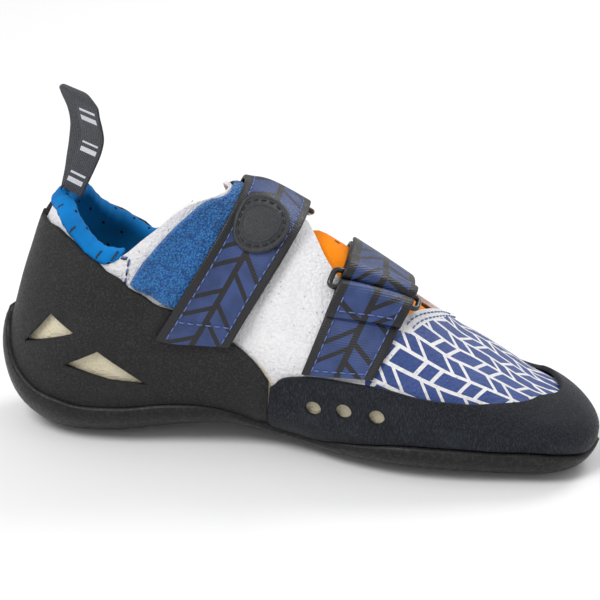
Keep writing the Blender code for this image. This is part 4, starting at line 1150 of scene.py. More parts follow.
def white_leather(name):
    """White synthetic leather with a fine grain and a few dark pores, creamy where mask says it lies under
    rubber, and printed with blocks where flat's third number, a distance into the print, is above 0."""
    f = Finish(name)
    shade = f.noise(0.018, 4.0)
    grain = f.cells(0.0012, feature="SMOOTH_F1")
    fine = f.noise(0.0005, 2.0)
    pores = f.fall(f.cells(0.0019), 0.13, 0.20)
    pores = f.times(pores, f.ramp(f.noise(0.008, 2.0), 0.54, 0.60))
    colour = f.mix(f.ramp(shade, 0.35, 0.65), WHITE, WHITE_SHADE)
    colour = f.mix(f.times(pores, 0.35), colour, PORE)
    colour = f.mix(f.times(f.ramp(grain, 0.25, 0.6), 0.35), colour, WHITE_GRAIN)
    cream = f.times(f.mask(), f.ramp(f.noise(0.003, 3.0), 0.2, 0.6, 0.75, 1.0))
    colour = f.mix(cream, colour, CREAM)
    height = f.plus(f.times(grain, 0.6), f.times(fine, 0.5))
    height = f.minus(height, f.times(pores, 0.6))
    where = f.flat()
    inside = f.ramp(f.split(where)[2], 0.0, 0.0002)
    block = f.times(tread(f, where, PRINT_LENGTH, PRINT_HEIGHT, PRINT_GAP, PRINT_LEAN), inside)
    block = f.times(block, f.math("LESS_THAN", f.mask(), 0.05))
    colour = f.mix(block, colour, f.mix(f.ramp(shade, 0.3, 0.7), NAVY, NAVY_LIGHT))
    height = f.math("MULTIPLY_ADD", block, 0.35, height)
    roughness = f.ramp(block, 0.0, 1.0, 0.58, 0.46)
    return f.finish(colour, roughness, f.bump(height, 0.00070, 1.0), Specular_IOR_Level=0.35)


def rubber(name, base, dust_and_sheen, grain=0.0008, depth=0.00060, gloss=0.0, stretch=(1.0, 1.0, 1.0)):
    """Matt rubber with a fine grain, dusty where it is rubbed, with a painted highlight on its raised grain.
    stretch draws the grain out along an axis.
    """
    f = Finish(name)
    where = f.add("ShaderNodeMapping", Vector=f.place(), Scale=stretch).outputs[0]
    fine = f.noise(grain, 4.0, where=where, rough=0.75)
    pits = f.fall(f.cells(grain * PIT_SPACING), 0.10, 0.22)
    dust = f.noise(0.014, 6.0, rough=0.65)
    wear = f.ramp(dust, 0.48, 0.78)
    colour = f.mix(f.times(wear, 0.3), base, dust_and_sheen)
    # Painted highlight: the raised grain is painted lighter, in the same colour as the dust
    colour = f.mix(f.times(f.ramp(fine, 0.46, 0.66), 0.8), colour, dust_and_sheen)
    colour = f.mix(f.times(pits, 0.5), colour, BLACK)
    height = f.minus(fine, f.times(pits, 0.35))
    roughness = f.ramp(fine, 0.3, 0.7, 0.62 - gloss, 0.42 - gloss)
    return f.finish(colour, roughness, f.bump(height, depth, 1.0), Specular_IOR_Level=0.25)


def knit(name, base, light, hole_pitch=0.0, hole_radius=0.0, weave=0.0007):
    """Fabric with a fine weave and, where it has a pitch, round perforations, painted black as painted shade
    inside them.
    """
    f = Finish(name)
    where = f.flat()
    x, y, _ = f.split(where)
    warp = f.wave(x, weave)
    weft = f.wave(y, weave)
    weave_height = f.times(warp, weft)
    fuzz = f.noise(0.0012, 3.0)
    colour = f.mix(f.ramp(f.noise(0.02, 3.0), 0.35, 0.65), base, light)
    height = f.math("MULTIPLY_ADD", weave_height, 0.35, fuzz)
    if hole_pitch:
        holes = dots(f, where, hole_pitch, hole_radius)
        # Painted shade: each perforation is painted black for the shade inside it
        colour = f.mix(holes, colour, BLACK)
        height = f.minus(height, f.times(holes, 4.0))
    return f.finish(colour, 0.75, f.bump(height, 0.00022, 0.9), Specular_IOR_Level=0.15)


def loop_pile():
    f = Finish("blue_loop_pile")
    loops = f.cells(0.00085)
    fuzz = f.noise(0.0005, 3.0, rough=0.8)
    patch = f.noise(0.004, 3.0)
    # Painted highlight and shade: the raised middles of the loops are painted lighter and the gaps between
    # them darker
    loop_shading = f.ramp(f.plus(f.times(loops, 0.6), f.times(fuzz, 0.6)), 0.35, 0.8)
    colour = f.mix(loop_shading, PILE_PAINTED_HIGHLIGHT, PILE)
    colour = f.mix(f.times(f.ramp(patch, 0.45, 0.75), 0.5), colour, PILE_DARK)
    height = f.minus(fuzz, loops)
    return f.finish(colour, 0.9, f.bump(height, 0.0006, 1.0), Sheen_Weight=0.25, Sheen_Roughness=0.4)


def printed_webbing(name, width):
    """Navy blocks with black gaps on woven webbing, black along both edges. flat is (across, along)."""
    f = Finish(name)
    across, along, _ = f.split(f.flat())
    inner = f.minus(across, STRAP_BORDER)
    height = (width - 2 * STRAP_BORDER) / 2
    block = tread(f, f.join(along, inner), STRAP_PRINT_LENGTH, height, STRAP_PRINT_GAP, STRAP_PRINT_LEAN)
    edge = f.math("MINIMUM", across, f.minus(width, across))
    border = f.fall(edge, STRAP_BORDER, STRAP_BORDER + STRAP_BORDER_SOFT)
    block = f.times(block, f.minus(1.0, border))
    fine = f.noise(0.0007, 3.0)
    shade = f.ramp(f.noise(0.010, 3.0), 0.35, 0.65)
    colour = f.mix(block, BLACK, f.mix(shade, STRAP_NAVY, STRAP_NAVY_LIGHT))
    rib = f.wave(along, 0.0011)
    height = f.math("MULTIPLY_ADD", rib, 0.10, f.times(fine, 0.35))
    height = f.math("MULTIPLY_ADD", block, 0.8, height)
    return f.finish(colour, f.ramp(fine, 0.3, 0.7, 0.40, 0.56), f.bump(height, 0.00035, 0.9),
                    Specular_IOR_Level=0.5)


def grey_webbing():
    """Dark webbing with plain pale bars across it. flat is (across, along)."""
    f = Finish("loop_webbing")
    across, along, _ = f.split(f.flat())
    rib = f.wave(across, 0.0012)
    weft = f.wave(along, 0.0008)
    fuzz = f.noise(0.0006, 3.0)
    aside = f.math("ABSOLUTE", f.minus(across, LOOP_WIDTH / 2))
    inside = f.fall(aside, LOOP_BAR_HALF, LOOP_BAR_HALF + LOOP_BAR_SOFT)
    period = f.math("FLOORED_MODULO", along, LOOP_BAR_PERIOD)
    wide, thin = (f.window(period, low, high, LOOP_BAR_SOFT) for low, high in LOOP_BARS)
    inside = f.times(inside, f.math("LESS_THAN", along, LOOP_HEIGHT + LOOP_OPENING))
    colour = f.mix(f.ramp(fuzz, 0.4, 0.7), WEB_GREY, WEB_LIGHT)
    colour = f.mix(f.times(f.math("MAXIMUM", wide, thin), inside), colour, PALE)
    height = f.math("MULTIPLY_ADD", rib, 0.5, f.math("MULTIPLY_ADD", weft, 0.4, fuzz))
    return f.finish(colour, 0.8, f.bump(height, 0.00018, 0.9), Sheen_Weight=0.1, Sheen_Roughness=0.5)


def thread(name, colour):
    f = Finish(name)
    twist = f.noise(0.0004, 2.0)
    return f.finish(f.mix(f.ramp(twist, 0.3, 0.7), colour, tuple(0.6 * c for c in colour)), 0.5,
                    f.bump(twist, 0.0001, 0.6))


def plastic():
    f = Finish("ring_plastic")
    fine = f.noise(0.002, 3.0)
    return f.finish(PLASTIC, f.ramp(fine, 0.3, 0.7, 0.22, 0.36), f.bump(fine, 0.00004, 0.4),
                    Coat_Weight=0.3, Coat_Roughness=0.2)


# Stitches


def stitches(name, line, outward, finish, closed=False, scale=1.0):
    """A row of raised stitches along a line of points. outward gives the surface's normals there."""
    length, stitch_gap, thickness = STITCH_LENGTH * scale, STITCH_GAP * scale, STITCH_RADIUS * scale
    if closed:
        line, outward = np.vstack([line, line[:1]]), np.vstack([outward, outward[:1]])
    reach = distance_along(line)
    count = max(1, int(reach[-1] / (length + stitch_gap)))
    pitch = reach[-1] / count
    along, lift, radius = np.array(STITCH_SHAPE).T
    one = tube_faces(len(along), STITCH_SIDES)
    points, faces = [], []
    for k in range(count):
        at = k * pitch + stitch_gap / 2 + along * (pitch - stitch_gap)
        middle = read_at(at, reach, line)
        up = unit(read_at(at, reach, outward))
        aside = unit(np.cross(np.gradient(middle, axis=0), up))
        middle = middle + up * (lift * thickness)[:, None]
        base = k * len(along) * STITCH_SIDES
        rings = tube_rings(middle, up, aside, (radius * thickness)[:, None, None], STITCH_SIDES)
        points.append(rings.reshape(-1, 3))
        faces += [tuple(base + v for v in face) for face in one]
    return linked(name, outward_mesh(name, np.vstack(points), faces, finish))


def upper_seam(name, places, finish, scale=1.0):
    """A row of stitches on the upper along a line of places."""
    line = on_last(places, SEAM_LIFT)
    piece(stitches(name, line, last_normals(places), finish, scale=scale), "white_synthetic")


# Upper, insole, tongue and lining


def crease_depth(points):
    """How far the creases press the upper in at each point."""
    depth = np.zeros(points.shape[:-1])
    for station, turn, half_length, half_width, angle, most in CREASES:
        middle_place = place(np.array([station]), np.array([turn]))
        middle = on_last(middle_place, 0)[0]
        normal = last_normals(middle_place)[0]
        ahead = unit(np.cross(np.cross(normal, (1.0, 0, 0)), normal))
        aside = np.cross(normal, ahead)
        turned = np.radians(angle)
        run = ahead * np.cos(turned) + aside * np.sin(turned)
        across_run = np.cross(normal, run)
        away = points - middle
        s, t, h = away @ run / half_length, away @ across_run / half_width, away @ normal / half_length
        lip = CREASE_LIP * np.exp(-((np.abs(t) - CREASE_LIP_PLACE) ** 2))
        depth += most * np.exp(-s * s - h * h) * (np.exp(-t * t) - lip)
    return depth


def upper_grid():
    """Stations and turns whose lines follow the collar, the throat and the opening underneath."""
    row_knot, row_part = spread(UPPER_ROWS)
    column_knot, column_part = spread(UPPER_COLUMNS)
    stations = np.repeat(np.linspace(0, 1, len(row_knot))[:, None], len(column_knot), axis=1)
    for _ in range(UPPER_ROUNDS):
        flat = stations.reshape(-1)
        throat = smooth_table(THROAT_EDGE, flat)
        hole = 1 - lasted_girth(np.clip(flat, LASTED_FRONT, LASTED_BACK))
        full = np.ones_like(flat)
        knots = np.stack([
            -full, -hole, throat[:, 0] - FLAP_HEM, throat[:, 0],
            throat[:, 1], throat[:, 1] + FLAP_HEM, hole, full,
        ]).reshape(8, *stations.shape)
        columns = np.arange(len(column_knot))
        start, end = knots[column_knot, :, columns].T, knots[column_knot + 1, :, columns].T
        turns = start * (1 - column_part) + end * column_part
        flat = turns.reshape(-1)
        knots = np.stack([
            np.zeros_like(turns),
            np.full_like(turns, LASTED_FRONT),
            smooth_table(THROAT_FRONT, flat)[:, 0].reshape(turns.shape),
            np.full_like(turns, LASTED_BACK),
            collar_station(flat).reshape(turns.shape),
        ])
        rows = np.arange(len(row_knot))
        start, end = knots[row_knot, rows], knots[row_knot + 1, rows]
        stations = start * (1 - row_part[:, None]) + end * row_part[:, None]
    # Left open: the spans beside the keel between the lasted rows, and the middle one behind the throat
    keep = np.ones((len(row_knot) - 1, len(column_knot) - 1), bool)
    under = np.isin(column_knot[:-1], (0, 6))
    keep[np.ix_(np.isin(row_knot[:-1], (1, 2)), under)] = False
    keep[np.ix_(row_knot[:-1] >= 2, column_knot[:-1] == 3)] = False
    return stations, turns, keep


def upper(finish):
    stations, turns, keep = upper_grid()
    places = place(stations, turns)
    places[:, -1] = places[:, 0]
    places[0] = places[0, 0]
    outer = on_last(places, 0)
    depth = crease_depth(outer)
    outer = on_last(places, -depth)
    print_end = np.interp(turns, *np.array(PRINT_END).T) * LAST_LENGTH
    flat = np.stack([stations * LAST_LENGTH, turns * TURN_GIRTH, print_end - stations * LAST_LENGTH], -1)
    rand_girths = []
    for columns in ((0, 1), (2, 3)):
        toe_top = np.array(TOE_RAND_TOP)[:, columns] - [TOE_MARGIN, 0]
        rand_top = np.vstack([toe_top, np.array(HEEL_RAND_TOP) - [HEEL_MARGIN, 0]])
        rand_girths.append(np.interp(stations, rand_top[:, 0], rand_top[:, 1]))
    rand_girth = np.where(turns < 0, *rand_girths)
    covered = np.clip((rand_girth - COVERED_MARGIN - (1 - np.abs(turns))) / COVERED_MARGIN, 0, 1)
    thing = slab("upper_shell", outer, on_last(places, -WALL - depth), finish, flat, covered, keep)
    return piece(thing, "white_synthetic", "upper")


def insole(finish):
    rows, columns = INSOLE_GRID
    edge = np.array(INSOLE_EDGE)
    near = curve(girth_place(edge[:, 0], edge[:, 1], -1), rows)
    far = curve(girth_place(edge[:, 0], edge[:, 1], 1), rows)
    places = across(near, far, np.linspace(0, 1, columns))
    low = on_last(places, -WALL - INSIDE_PLAY)
    top = on_last(places, -WALL - INSIDE_PLAY - INSOLE_THICKNESS)
    return piece(slab("insole_board", low, top, finish, low[..., :2]), "insole_board", "insole")


def tongue(finish):
    rows, columns = TONGUE_GRID
    stations = np.linspace(TONGUE_FRONT, TONGUE_BACK, rows)
    edges = smooth_table(THROAT_EDGE, stations)[:, None]
    far_turns = np.interp(stations, *np.array(TONGUE_FAR).T)
    stations = np.repeat(stations[:, None], columns, axis=1)
    turns = np.linspace(TONGUE_NEAR, far_turns, columns, axis=1)
    near_edge, far_edge = edges[..., 0] + SWELL_MARGIN, edges[..., 1] - SWELL_MARGIN
    swell = bell(stations, SWELL_START, SWELL_END, SWELL_RAMP)
    swell = swell * bell(turns, near_edge, far_edge, SWELL_TURN_RAMP)
    places = place(stations, turns)
    tuck = eased(np.clip((stations - TUCK_START) / (TUCK_END - TUCK_START), 0, 1))
    lift = -WALL - INSIDE_PLAY + swell * TONGUE_SWELL - TUCK * tuck
    low = on_last(places, lift - TONGUE_THICKNESS)
    thick = rounded(open_edge_distance(low)) * TONGUE_THICKNESS
    outer = on_last(places, lift - TONGUE_THICKNESS + thick)
    flat = np.stack([stations * LAST_LENGTH, turns * TURN_GIRTH], -1)
    return piece(slab("tongue_fabric", outer, low, finish, flat), "orange_fabric", "tongue")


def collar_frame(turns):
    """The collar's edge at turns, the ways out of the shoe and up from it, and the station's speed there."""
    station = collar_station(turns)
    places = place(station, turns)
    edge = on_last(places, 0)
    up = (edge - on_last(place(station - PROBE, turns), 0)) / PROBE
    speed = np.linalg.norm(up, axis=1)
    return station, edge, last_normals(places), up / speed[:, None], speed


def pad_points(turns, angle, fat=1.0, proud=0.0):
    """Points on the roll of padding, which laps over the collar's edge. Angle 0 is straight out, 90 up."""
    _, edge, outward, up, _ = collar_frame(turns)
    out = PAD_MIDDLE[0] + (PAD_SIZE[0] * fat + proud) * np.cos(angle)
    rise = PAD_MIDDLE[1] + (PAD_SIZE[1] * fat + proud) * np.sin(angle)
    out, rise = np.broadcast_to(out, len(edge)), np.broadcast_to(rise, len(edge))
    return edge + outward * out[:, None] + up * rise[:, None]


def collar_lining(finish):
    """The lining and its padded roll: one outline, carried round the collar's edge, with sewn puckers."""
    turns = np.concatenate([
        np.linspace(-(1 - ROLL_NEAR_GIRTH), -1, COLLAR_NEAR_ROWS),
        np.linspace(1, 1 - ROLL_FAR_GIRTH, COLLAR_FAR_ROWS)[1:],
    ])
    station, edge, outward, up, speed = collar_frame(turns)
    along = distance_along(edge)
    ends = np.minimum(along, along[-1] - along)
    fat = PAD_END_SHARE + (1 - PAD_END_SHARE) * np.sqrt(np.clip(ends / PAD_END_RUN, 0, 1))
    for length, share in PAD_PUCKERS:
        fat = fat + share * np.sin(2 * np.pi * along / length)

    def beyond(out, rise):
        return edge + outward * out + up * rise

    def below(out, depth):
        return on_last(place(station - depth / speed, turns), out)

    face = -WALL - INSIDE_PLAY
    back = face - LINING_THICKNESS
    inward = PAD_MIDDLE[0] - PAD_SIZE[0]
    rings = [below(face, LINING_DEPTH), below(face, LINING_DEPTH / 2), below(face, LINING_DEPTH / 8)]
    rings += [beyond(face, RIM_PLAY), beyond(0, RIM_PLAY)]
    for angle in np.radians(np.arange(PAD_START_ANGLE, 181, PAD_ANGLE_STEP)):
        rings.append(pad_points(turns, angle, fat))
    for share in np.linspace(0.1, 1, PAD_BACK_STEPS):
        inset = inward + (back - inward) * min(share * PAD_BACK_RATE, 1) ** PAD_BACK_POWER
        rings.append(below(inset, LINING_DEPTH * share))
    rings = np.stack(rings, axis=1)
    lengths = distance_along(rings[COLLAR_NEAR_ROWS // 2])
    flat = np.stack(np.broadcast_arrays(along[:, None], lengths[None, :]), -1)
    thing = piece(bars("collar_padding", rings, finish, flat), "blue_lining", "collar_lining")


# Rubber


def outsole(finish):
    edges = [np.vstack([toe_edge(side), heel_edge(side)[1:]]) for side in (-1, 1)]
    width = np.linalg.norm(last_at(edges[0]) - last_at(edges[1]), axis=1)
    border = SOLE_BEVEL / BALL_WIDTH * np.array(SOLE_BORDER)
    inner = np.linspace(border[-1], 1 - border[-1], SOLE_COLUMNS)[1:-1]
    shares = np.concatenate([border, inner, 1 - border[::-1]])
    places = across(edges[0], edges[1], shares)
    depth = np.minimum(shares, shares[::-1])[None, :] * np.maximum(width, SOLE_BEVEL)[:, None]
    from_heel = last_at(places.reshape(-1, 2)) - last_at(edges[0][-1:])[0]
    depth = np.minimum(depth, np.linalg.norm(from_heel, axis=1).reshape(depth.shape))
    full = np.clip(depth / SOLE_BEVEL, 0, 1)
    edge = rounded(depth, SOLE_ROUND)
    lift = RUBBER_PLAY + (SOLE_EDGE_THICKNESS + (SOLE_THICKNESS - SOLE_EDGE_THICKNESS) * np.sqrt(full)) * edge
    outer = on_last(places, lift)
    outer[..., 2] = np.maximum(outer[..., 2], 0)
    inner = on_last(places, RUBBER_PLAY + SOLE_ROOM * full)
    thing = slab("outsole_rubber", outer, inner, finish, outer[..., :2])
    return piece(thing, "sole_rubber", "outsole")


def cut(thing, cutter_name, rim):
    """Cuts a prism across the shoe out of a piece, from its rim, and applies the cut."""
    reach = np.array([0, CUTTER_REACH, 0])
    cutter = bars(cutter_name, np.stack([rim + reach, rim - reach]), thing.data.materials[0])
    boolean = thing.modifiers.new(cutter_name, "BOOLEAN")
    boolean.operation = "DIFFERENCE"
    boolean.solver = "EXACT"
    boolean.object = cutter
    bpy.context.view_layer.update()
    shape = bpy.data.meshes.new_from_object(thing.evaluated_get(bpy.context.evaluated_depsgraph_get()))
    thing.modifiers.remove(boolean)
    thing.data = shape
    bpy.data.objects.remove(cutter)


def rand_slab(name, low, high, thickness, finish):
    places = between(low, high, edge_shares(RAND_COLUMNS, RAND_BORDER))
    inner = on_last(places, RUBBER_PLAY)
    round_off = rounded(open_edge_distance(inner, RAND_OPEN_SIDES), RAND_ROUND)
    outer = on_last(places, RUBBER_PLAY + thickness * round_off)
    return slab(name, outer, inner, finish, outer[..., :2])


def rand_tops(table, near_columns, far_columns, count, crowding):
    """A rand's upper edge on the near and the far side, from a table's columns of stations and girths."""
    rows = np.array(table)
    tops = []
    for side, (station, girth) in ((-1, near_columns), (1, far_columns)):
        tops.append(curve(girth_place(rows[:, station], rows[:, girth], side), count, crowding))
    return tops


def toe_rand(finish):
    near, far = rand_tops(TOE_RAND_TOP, (0, 1), (2, 3), TOE_ROWS, TOE_CROWDING)
    low = shifted(np.vstack([toe_edge(-1)[::-1], toe_edge(1)[1:]]), 2 * PLAY)
    rand = rand_slab("toe_rand_rubber", low, np.vstack([near[::-1], far[1:]]), TOE_RAND_THICKNESS, finish)
    angles = np.arange(HOLE_SIDES) * 2 * np.pi / HOLE_SIDES
    circle = np.column_stack([np.cos(angles), 0 * angles, np.sin(angles)]) * HOLE_DIAMETER / 2
    for number, (station, girth) in enumerate(HOLES):
        cut(rand, f"hole_{number}", on_last(girth_place([station], [girth], -1), 0)[0] + circle)
    return piece(rand, "rand_rubber", "toe_rand")


def heel_rand(finish):
    near, far = rand_tops(HEEL_RAND_TOP, (0, 1), (0, 1), HEEL_ROWS, HEEL_CROWDING)
    low = shifted(np.vstack([heel_edge(-1), heel_edge(1)[::-1][1:]]), -PLAY)
    rand = rand_slab("heel_rand_rubber", low, np.vstack([near, far[::-1][1:]]), HEEL_RAND_THICKNESS, finish)
    for number, corners in enumerate(WINDOWS):
        stations, girths = np.array(corners).T
        cut(rand, f"window_{number}", on_last(girth_place(stations, girths, -1), 0))
    return piece(rand, "rand_rubber", "heel_rand")


# Straps


WRAP_RADIUS = RING_WIRE_RADIUS + RING_PLAY + WEBBING_THICKNESS / 2
LOW_LAYER = PLAY + WEBBING_THICKNESS / 2
SECOND_LAYER = LOW_LAYER + WEBBING_THICKNESS + PLAY
PILE_LAYER = PILE_PLAY + PILE_THICKNESS + PLAY + WEBBING_THICKNESS / 2
BAR_LIFT = LOW_LAYER + WRAP_RADIUS
TURN_TOP = BAR_LIFT + WRAP_RADIUS


def path_at(ends, path_from, share):
    """A strap's path at a share of its width, which starts at an end of its own."""
    return np.array(path_from(ends[0] + (ends[1] - ends[0]) * share))


def webbing(name, way, ends, path_from, finish, width):
    """A strap along its paths, with soft edges."""
    rings, flats = [], []
    for share in edge_shares(STRAP_COLUMNS, STRAP_EDGE_BORDER):
        path = path_at(ends, path_from, share)
        thick = WEBBING_THICKNESS * rounded(min(share, 1 - share) * width, STRAP_ROUND)
        outline = thick_path(path, thick)
        rings.append(lay(way, share, outline[:, 0], outline[:, 1]))
        reach = distance_along(path)
        reach = np.concatenate([reach, reach[::-1]]) + path[0, 0]
        flats.append(np.column_stack([np.full(len(reach), share * width), reach]))
    return bars(name, np.stack(rings), finish, np.stack(flats))


def strap_line(way, share, path, side):
    """Points along one face of a strap, with their outward directions."""
    outline = thick_path(path, WEBBING_THICKNESS + 2 * STITCH_RADIUS * STITCH_STAND)
    half = outline[:len(path)] if side > 0 else outline[len(path):][::-1]
    line = lay(way, share, half[:, 0], half[:, 1])
    return line, unit(line - lay(way, share, path[:, 0], path[:, 1]))


def anchor_path(sense):
    def path_from(end):
        path = straight(-end, -BEND_START, LOW_LAYER, LOW_LAYER, count=30)
        path += wrap_arc(0, -90, 90)
        path += straight(-BEND_START, -RETURN_LENGTH, TURN_TOP, SECOND_LAYER, count=16)
        return [(sense * along, lift) for along, lift in path]

    return path_from


def rear_path(end):
    path = straight(end, -REAR_RISE * BEND_RUN, PILE_LAYER, PILE_LAYER, count=50)
    path += straight(-BEND_RUN, -BEND_START, PILE_LAYER, TURN_TOP, count=14)
    path += wrap_arc(0, 90, -90)
    path += straight(-BEND_START, -BEND_RUN, LOW_LAYER, LOW_LAYER, count=8)
    return path


def front_path(end):
    path = straight(end, RING_SPAN + BEND_START, LOW_LAYER, LOW_LAYER, count=44)
    path += wrap_arc(RING_SPAN, 270, 90)
    path += straight(RING_SPAN + BEND_START, RING_SPAN + BEND_RUN, TURN_TOP, SECOND_LAYER, count=14)
    fall_end = RING_SPAN + FRONT_FALL * BEND_RUN
    path += straight(fall_end, RING_SPAN + FRONT_RETURN, SECOND_LAYER, SECOND_LAYER, count=24)
    return path


def strap_stitches(name, way, ends, path_from, width, finish):
    """Rows of stitches along a strap's two edges, and across it."""
    inset = STITCH_INSET / width
    rows = []
    for kind, first, end, side in STRAP_STITCHES[name]:
        shares = (inset, 1 - inset) if kind == "edges" else np.linspace(inset, 1 - inset, STRAP_ROW_POINTS)
        lines = [strap_line(way, share, path_at(ends, path_from, share), side) for share in shares]
        if kind == "edges":
            rows += [(line[first:end], outward[first:end]) for line, outward in lines]
        else:
            rows.append([np.array([line[part][first] for line in lines]) for part in (0, 1)])
    for number, (line, outward) in enumerate(rows):
        piece(stitches(f"{name}_stitches_{number}", line, outward, finish), "navy_webbing")


def ring(name, node, way, centre, finish):
    half_width = REAR_STRAP_WIDTH / 2 + RING_MARGIN - RING_CORNER
    outline = []
    for x, y, first in ((1, 1, 0), (-1, 1, 90), (-1, -1, 180), (1, -1, 270)):
        for angle in np.radians(np.linspace(first, first + 90, RING_CORNER_POINTS)):
            sideways = x * half_width + RING_CORNER * np.cos(angle)
            along = y * (RING_SPAN / 2 - RING_CORNER) + RING_CORNER * np.sin(angle)
            outline.append((0.5 + sideways / REAR_STRAP_WIDTH, centre + along))
        if x == y:
            share, along = outline[-1]
            parts = np.linspace(1, -1, RING_BAR_POINTS)[1:-1]
            outline += [(0.5 + (share - 0.5) * part, along) for part in parts]
    outline = np.array(outline)
    middle = lay(way, outline[:, 0], outline[:, 1], np.full(len(outline), BAR_LIFT))
    outward = unit(lay(way, outline[:, 0], outline[:, 1], np.full(len(outline), 2 * BAR_LIFT)) - middle)
    aside = unit(np.cross(np.roll(middle, -1, axis=0) - np.roll(middle, 1, axis=0), outward))
    rings = tube_rings(middle, outward, aside, RING_WIRE_RADIUS, RING_SIDES)
    return piece(bars(name, rings, finish, closed=True), "black_plastic", node)


def badge(way, finish, thread_finish):
    """A domed rubber disc with a raised rim, a groove and a raised ring, sewn down."""
    radii, dome = np.array(BADGE_PROFILE).T
    angles = np.linspace(0, 2 * np.pi, BADGE_SIDES + 1)
    sideways = BADGE_SHARE + np.outer(radii, np.cos(angles)) * BADGE_RADIUS / REAR_STRAP_WIDTH
    along = BADGE_ALONG + np.outer(radii, np.sin(angles)) * BADGE_RADIUS
    sideways[:, -1], along[:, -1] = sideways[:, 0], along[:, 0]
    low = PILE_LAYER + WEBBING_THICKNESS / 2 + PLAY
    outer = lay(way, sideways, along, low + dome[:, None] * BADGE_THICKNESS)
    flat = np.stack([sideways * REAR_STRAP_WIDTH, along], -1)
    thing = slab("badge_disc", outer, lay(way, sideways, along, low), finish, flat)
    piece(thing, "badge_rubber", "badge")
    radius, height = BADGE_STITCH_RING
    angles = np.linspace(0, 2 * np.pi, BADGE_STITCH_POINTS + 1)[:-1]
    sideways = BADGE_SHARE + radius * BADGE_RADIUS * np.cos(angles) / REAR_STRAP_WIDTH
    along = BADGE_ALONG + radius * BADGE_RADIUS * np.sin(angles)
    line, above = (lay(way, sideways, along, low + share * BADGE_THICKNESS) for share in (height, 1))
    piece(stitches("badge_stitches", line, unit(above - line), thread_finish, closed=True), "badge_rubber")


def pile_panel(finish):
    rows, columns = PILE_GRID
    sides = []
    for points, count in ((PILE_BOTTOM, rows), (PILE_TOP, rows), (PILE_REAR, columns), (PILE_FRONT, columns)):
        points = np.array(points)
        steps = np.linspace(0, len(points) - 1, count)
        sides.append(smooth_table(np.column_stack([np.arange(len(points)), points]), steps))
    bottom, top, rear, front = sides
    u, v = np.linspace(0, 1, rows)[:, None, None], np.linspace(0, 1, columns)[None, :, None]
    upward = bottom[:, None] * (1 - v) + top[:, None] * v
    forward = rear[None] * (1 - u) + front[None] * u
    corners = (bottom[0] * (1 - u) + bottom[-1] * u) * (1 - v) + (top[0] * (1 - u) + top[-1] * u) * v
    mixed = upward + forward - corners
    places = place(mixed[..., 0], mixed[..., 1])
    inner = on_last(places, PLAY / 2)
    fluff, ragged = (
        sum(depth * wobble(inner, size, seed) for depth, size, seed in waves)
        for waves in (PILE_WAVES, (PILE_RAGGED,))
    )
    thick = PILE_PLAY / 2 + PILE_THICKNESS - PILE_WAVE_ROOM + fluff
    thick = thick * rounded(open_edge_distance(inner) + ragged, PILE_ROUND)
    outer = on_last(places, PILE_PLAY / 2 + thick)
    return piece(slab("pile_panel_loops", outer, inner, finish, mixed), "blue_pile", "pile_panel")


def pull_loop(finish):
    shares = np.linspace(0, 1, LOOP_ROWS)
    lean, back, turn, opening = smooth_table(LOOP_SHAPE, shares).T
    behind = np.array([-1.0])
    edge = on_last(place(collar_station(behind), behind), 0)[0]
    foot = edge[2] + ROLL_RISE + ROLL_RADIUS - LOOP_SINK
    width = np.column_stack([np.cos(np.radians(turn)), np.sin(np.radians(turn)), 0 * turn])
    facing = np.column_stack([width[:, 1], -width[:, 0], 0 * turn])
    middle = np.column_stack([
        edge[0] + LOOP_INSET + lean * LOOP_WIDTH, 0 * lean, foot + shares * LOOP_HEIGHT
    ])
    gap = (LOOP_THICKNESS + PLAY) / 2 + opening * LOOP_OPENING / 2
    rise = middle + facing * gap[:, None]
    fall = middle - facing * gap[:, None] - width * (back * LOOP_WIDTH)[:, None]
    crown = []
    for angle in np.radians(np.arange(LOOP_CROWN_STEP, 180, LOOP_CROWN_STEP)):
        mix = (1 - np.cos(angle)) / 2
        point = rise[-1] * (1 - mix) + fall[-1] * mix
        crown.append(point + [0, 0, gap[-1] * np.sin(angle)])
    path = np.vstack([rise, crown, fall[::-1]])
    wide = np.vstack([width, [width[-1]] * len(crown), width[::-1]])
    outward = unit(np.cross(np.gradient(path, axis=0), wide))
    reach = distance_along(path)
    outline = LOOP_PROFILE + tuple((x, -y) for x, y in reversed(LOOP_PROFILE))
    rings = np.stack([
        path + wide * x * LOOP_WIDTH / 2 + outward * y * LOOP_THICKNESS / 2 for x, y in outline
    ], axis=1)
    flat = np.stack([
        np.column_stack([np.full(len(path), (x + 1) * LOOP_WIDTH / 2), reach]) for x, _ in outline
    ], axis=1)
    return piece(bars("pull_loop_webbing", rings, finish, flat), "grey_webbing", "pull_loop")


# Seams on the upper


def throat_seams(finish):
    turns = np.linspace(*THROAT_SEAM_TURNS, THROAT_SEAM_POINTS)
    front = smooth_table(THROAT_FRONT, turns)[:, 0]
    for number, offset in enumerate(THROAT_SEAMS):
        line = place(front - offset, turns)
        upper_seam(f"vamp_seam_{number}", line, finish)


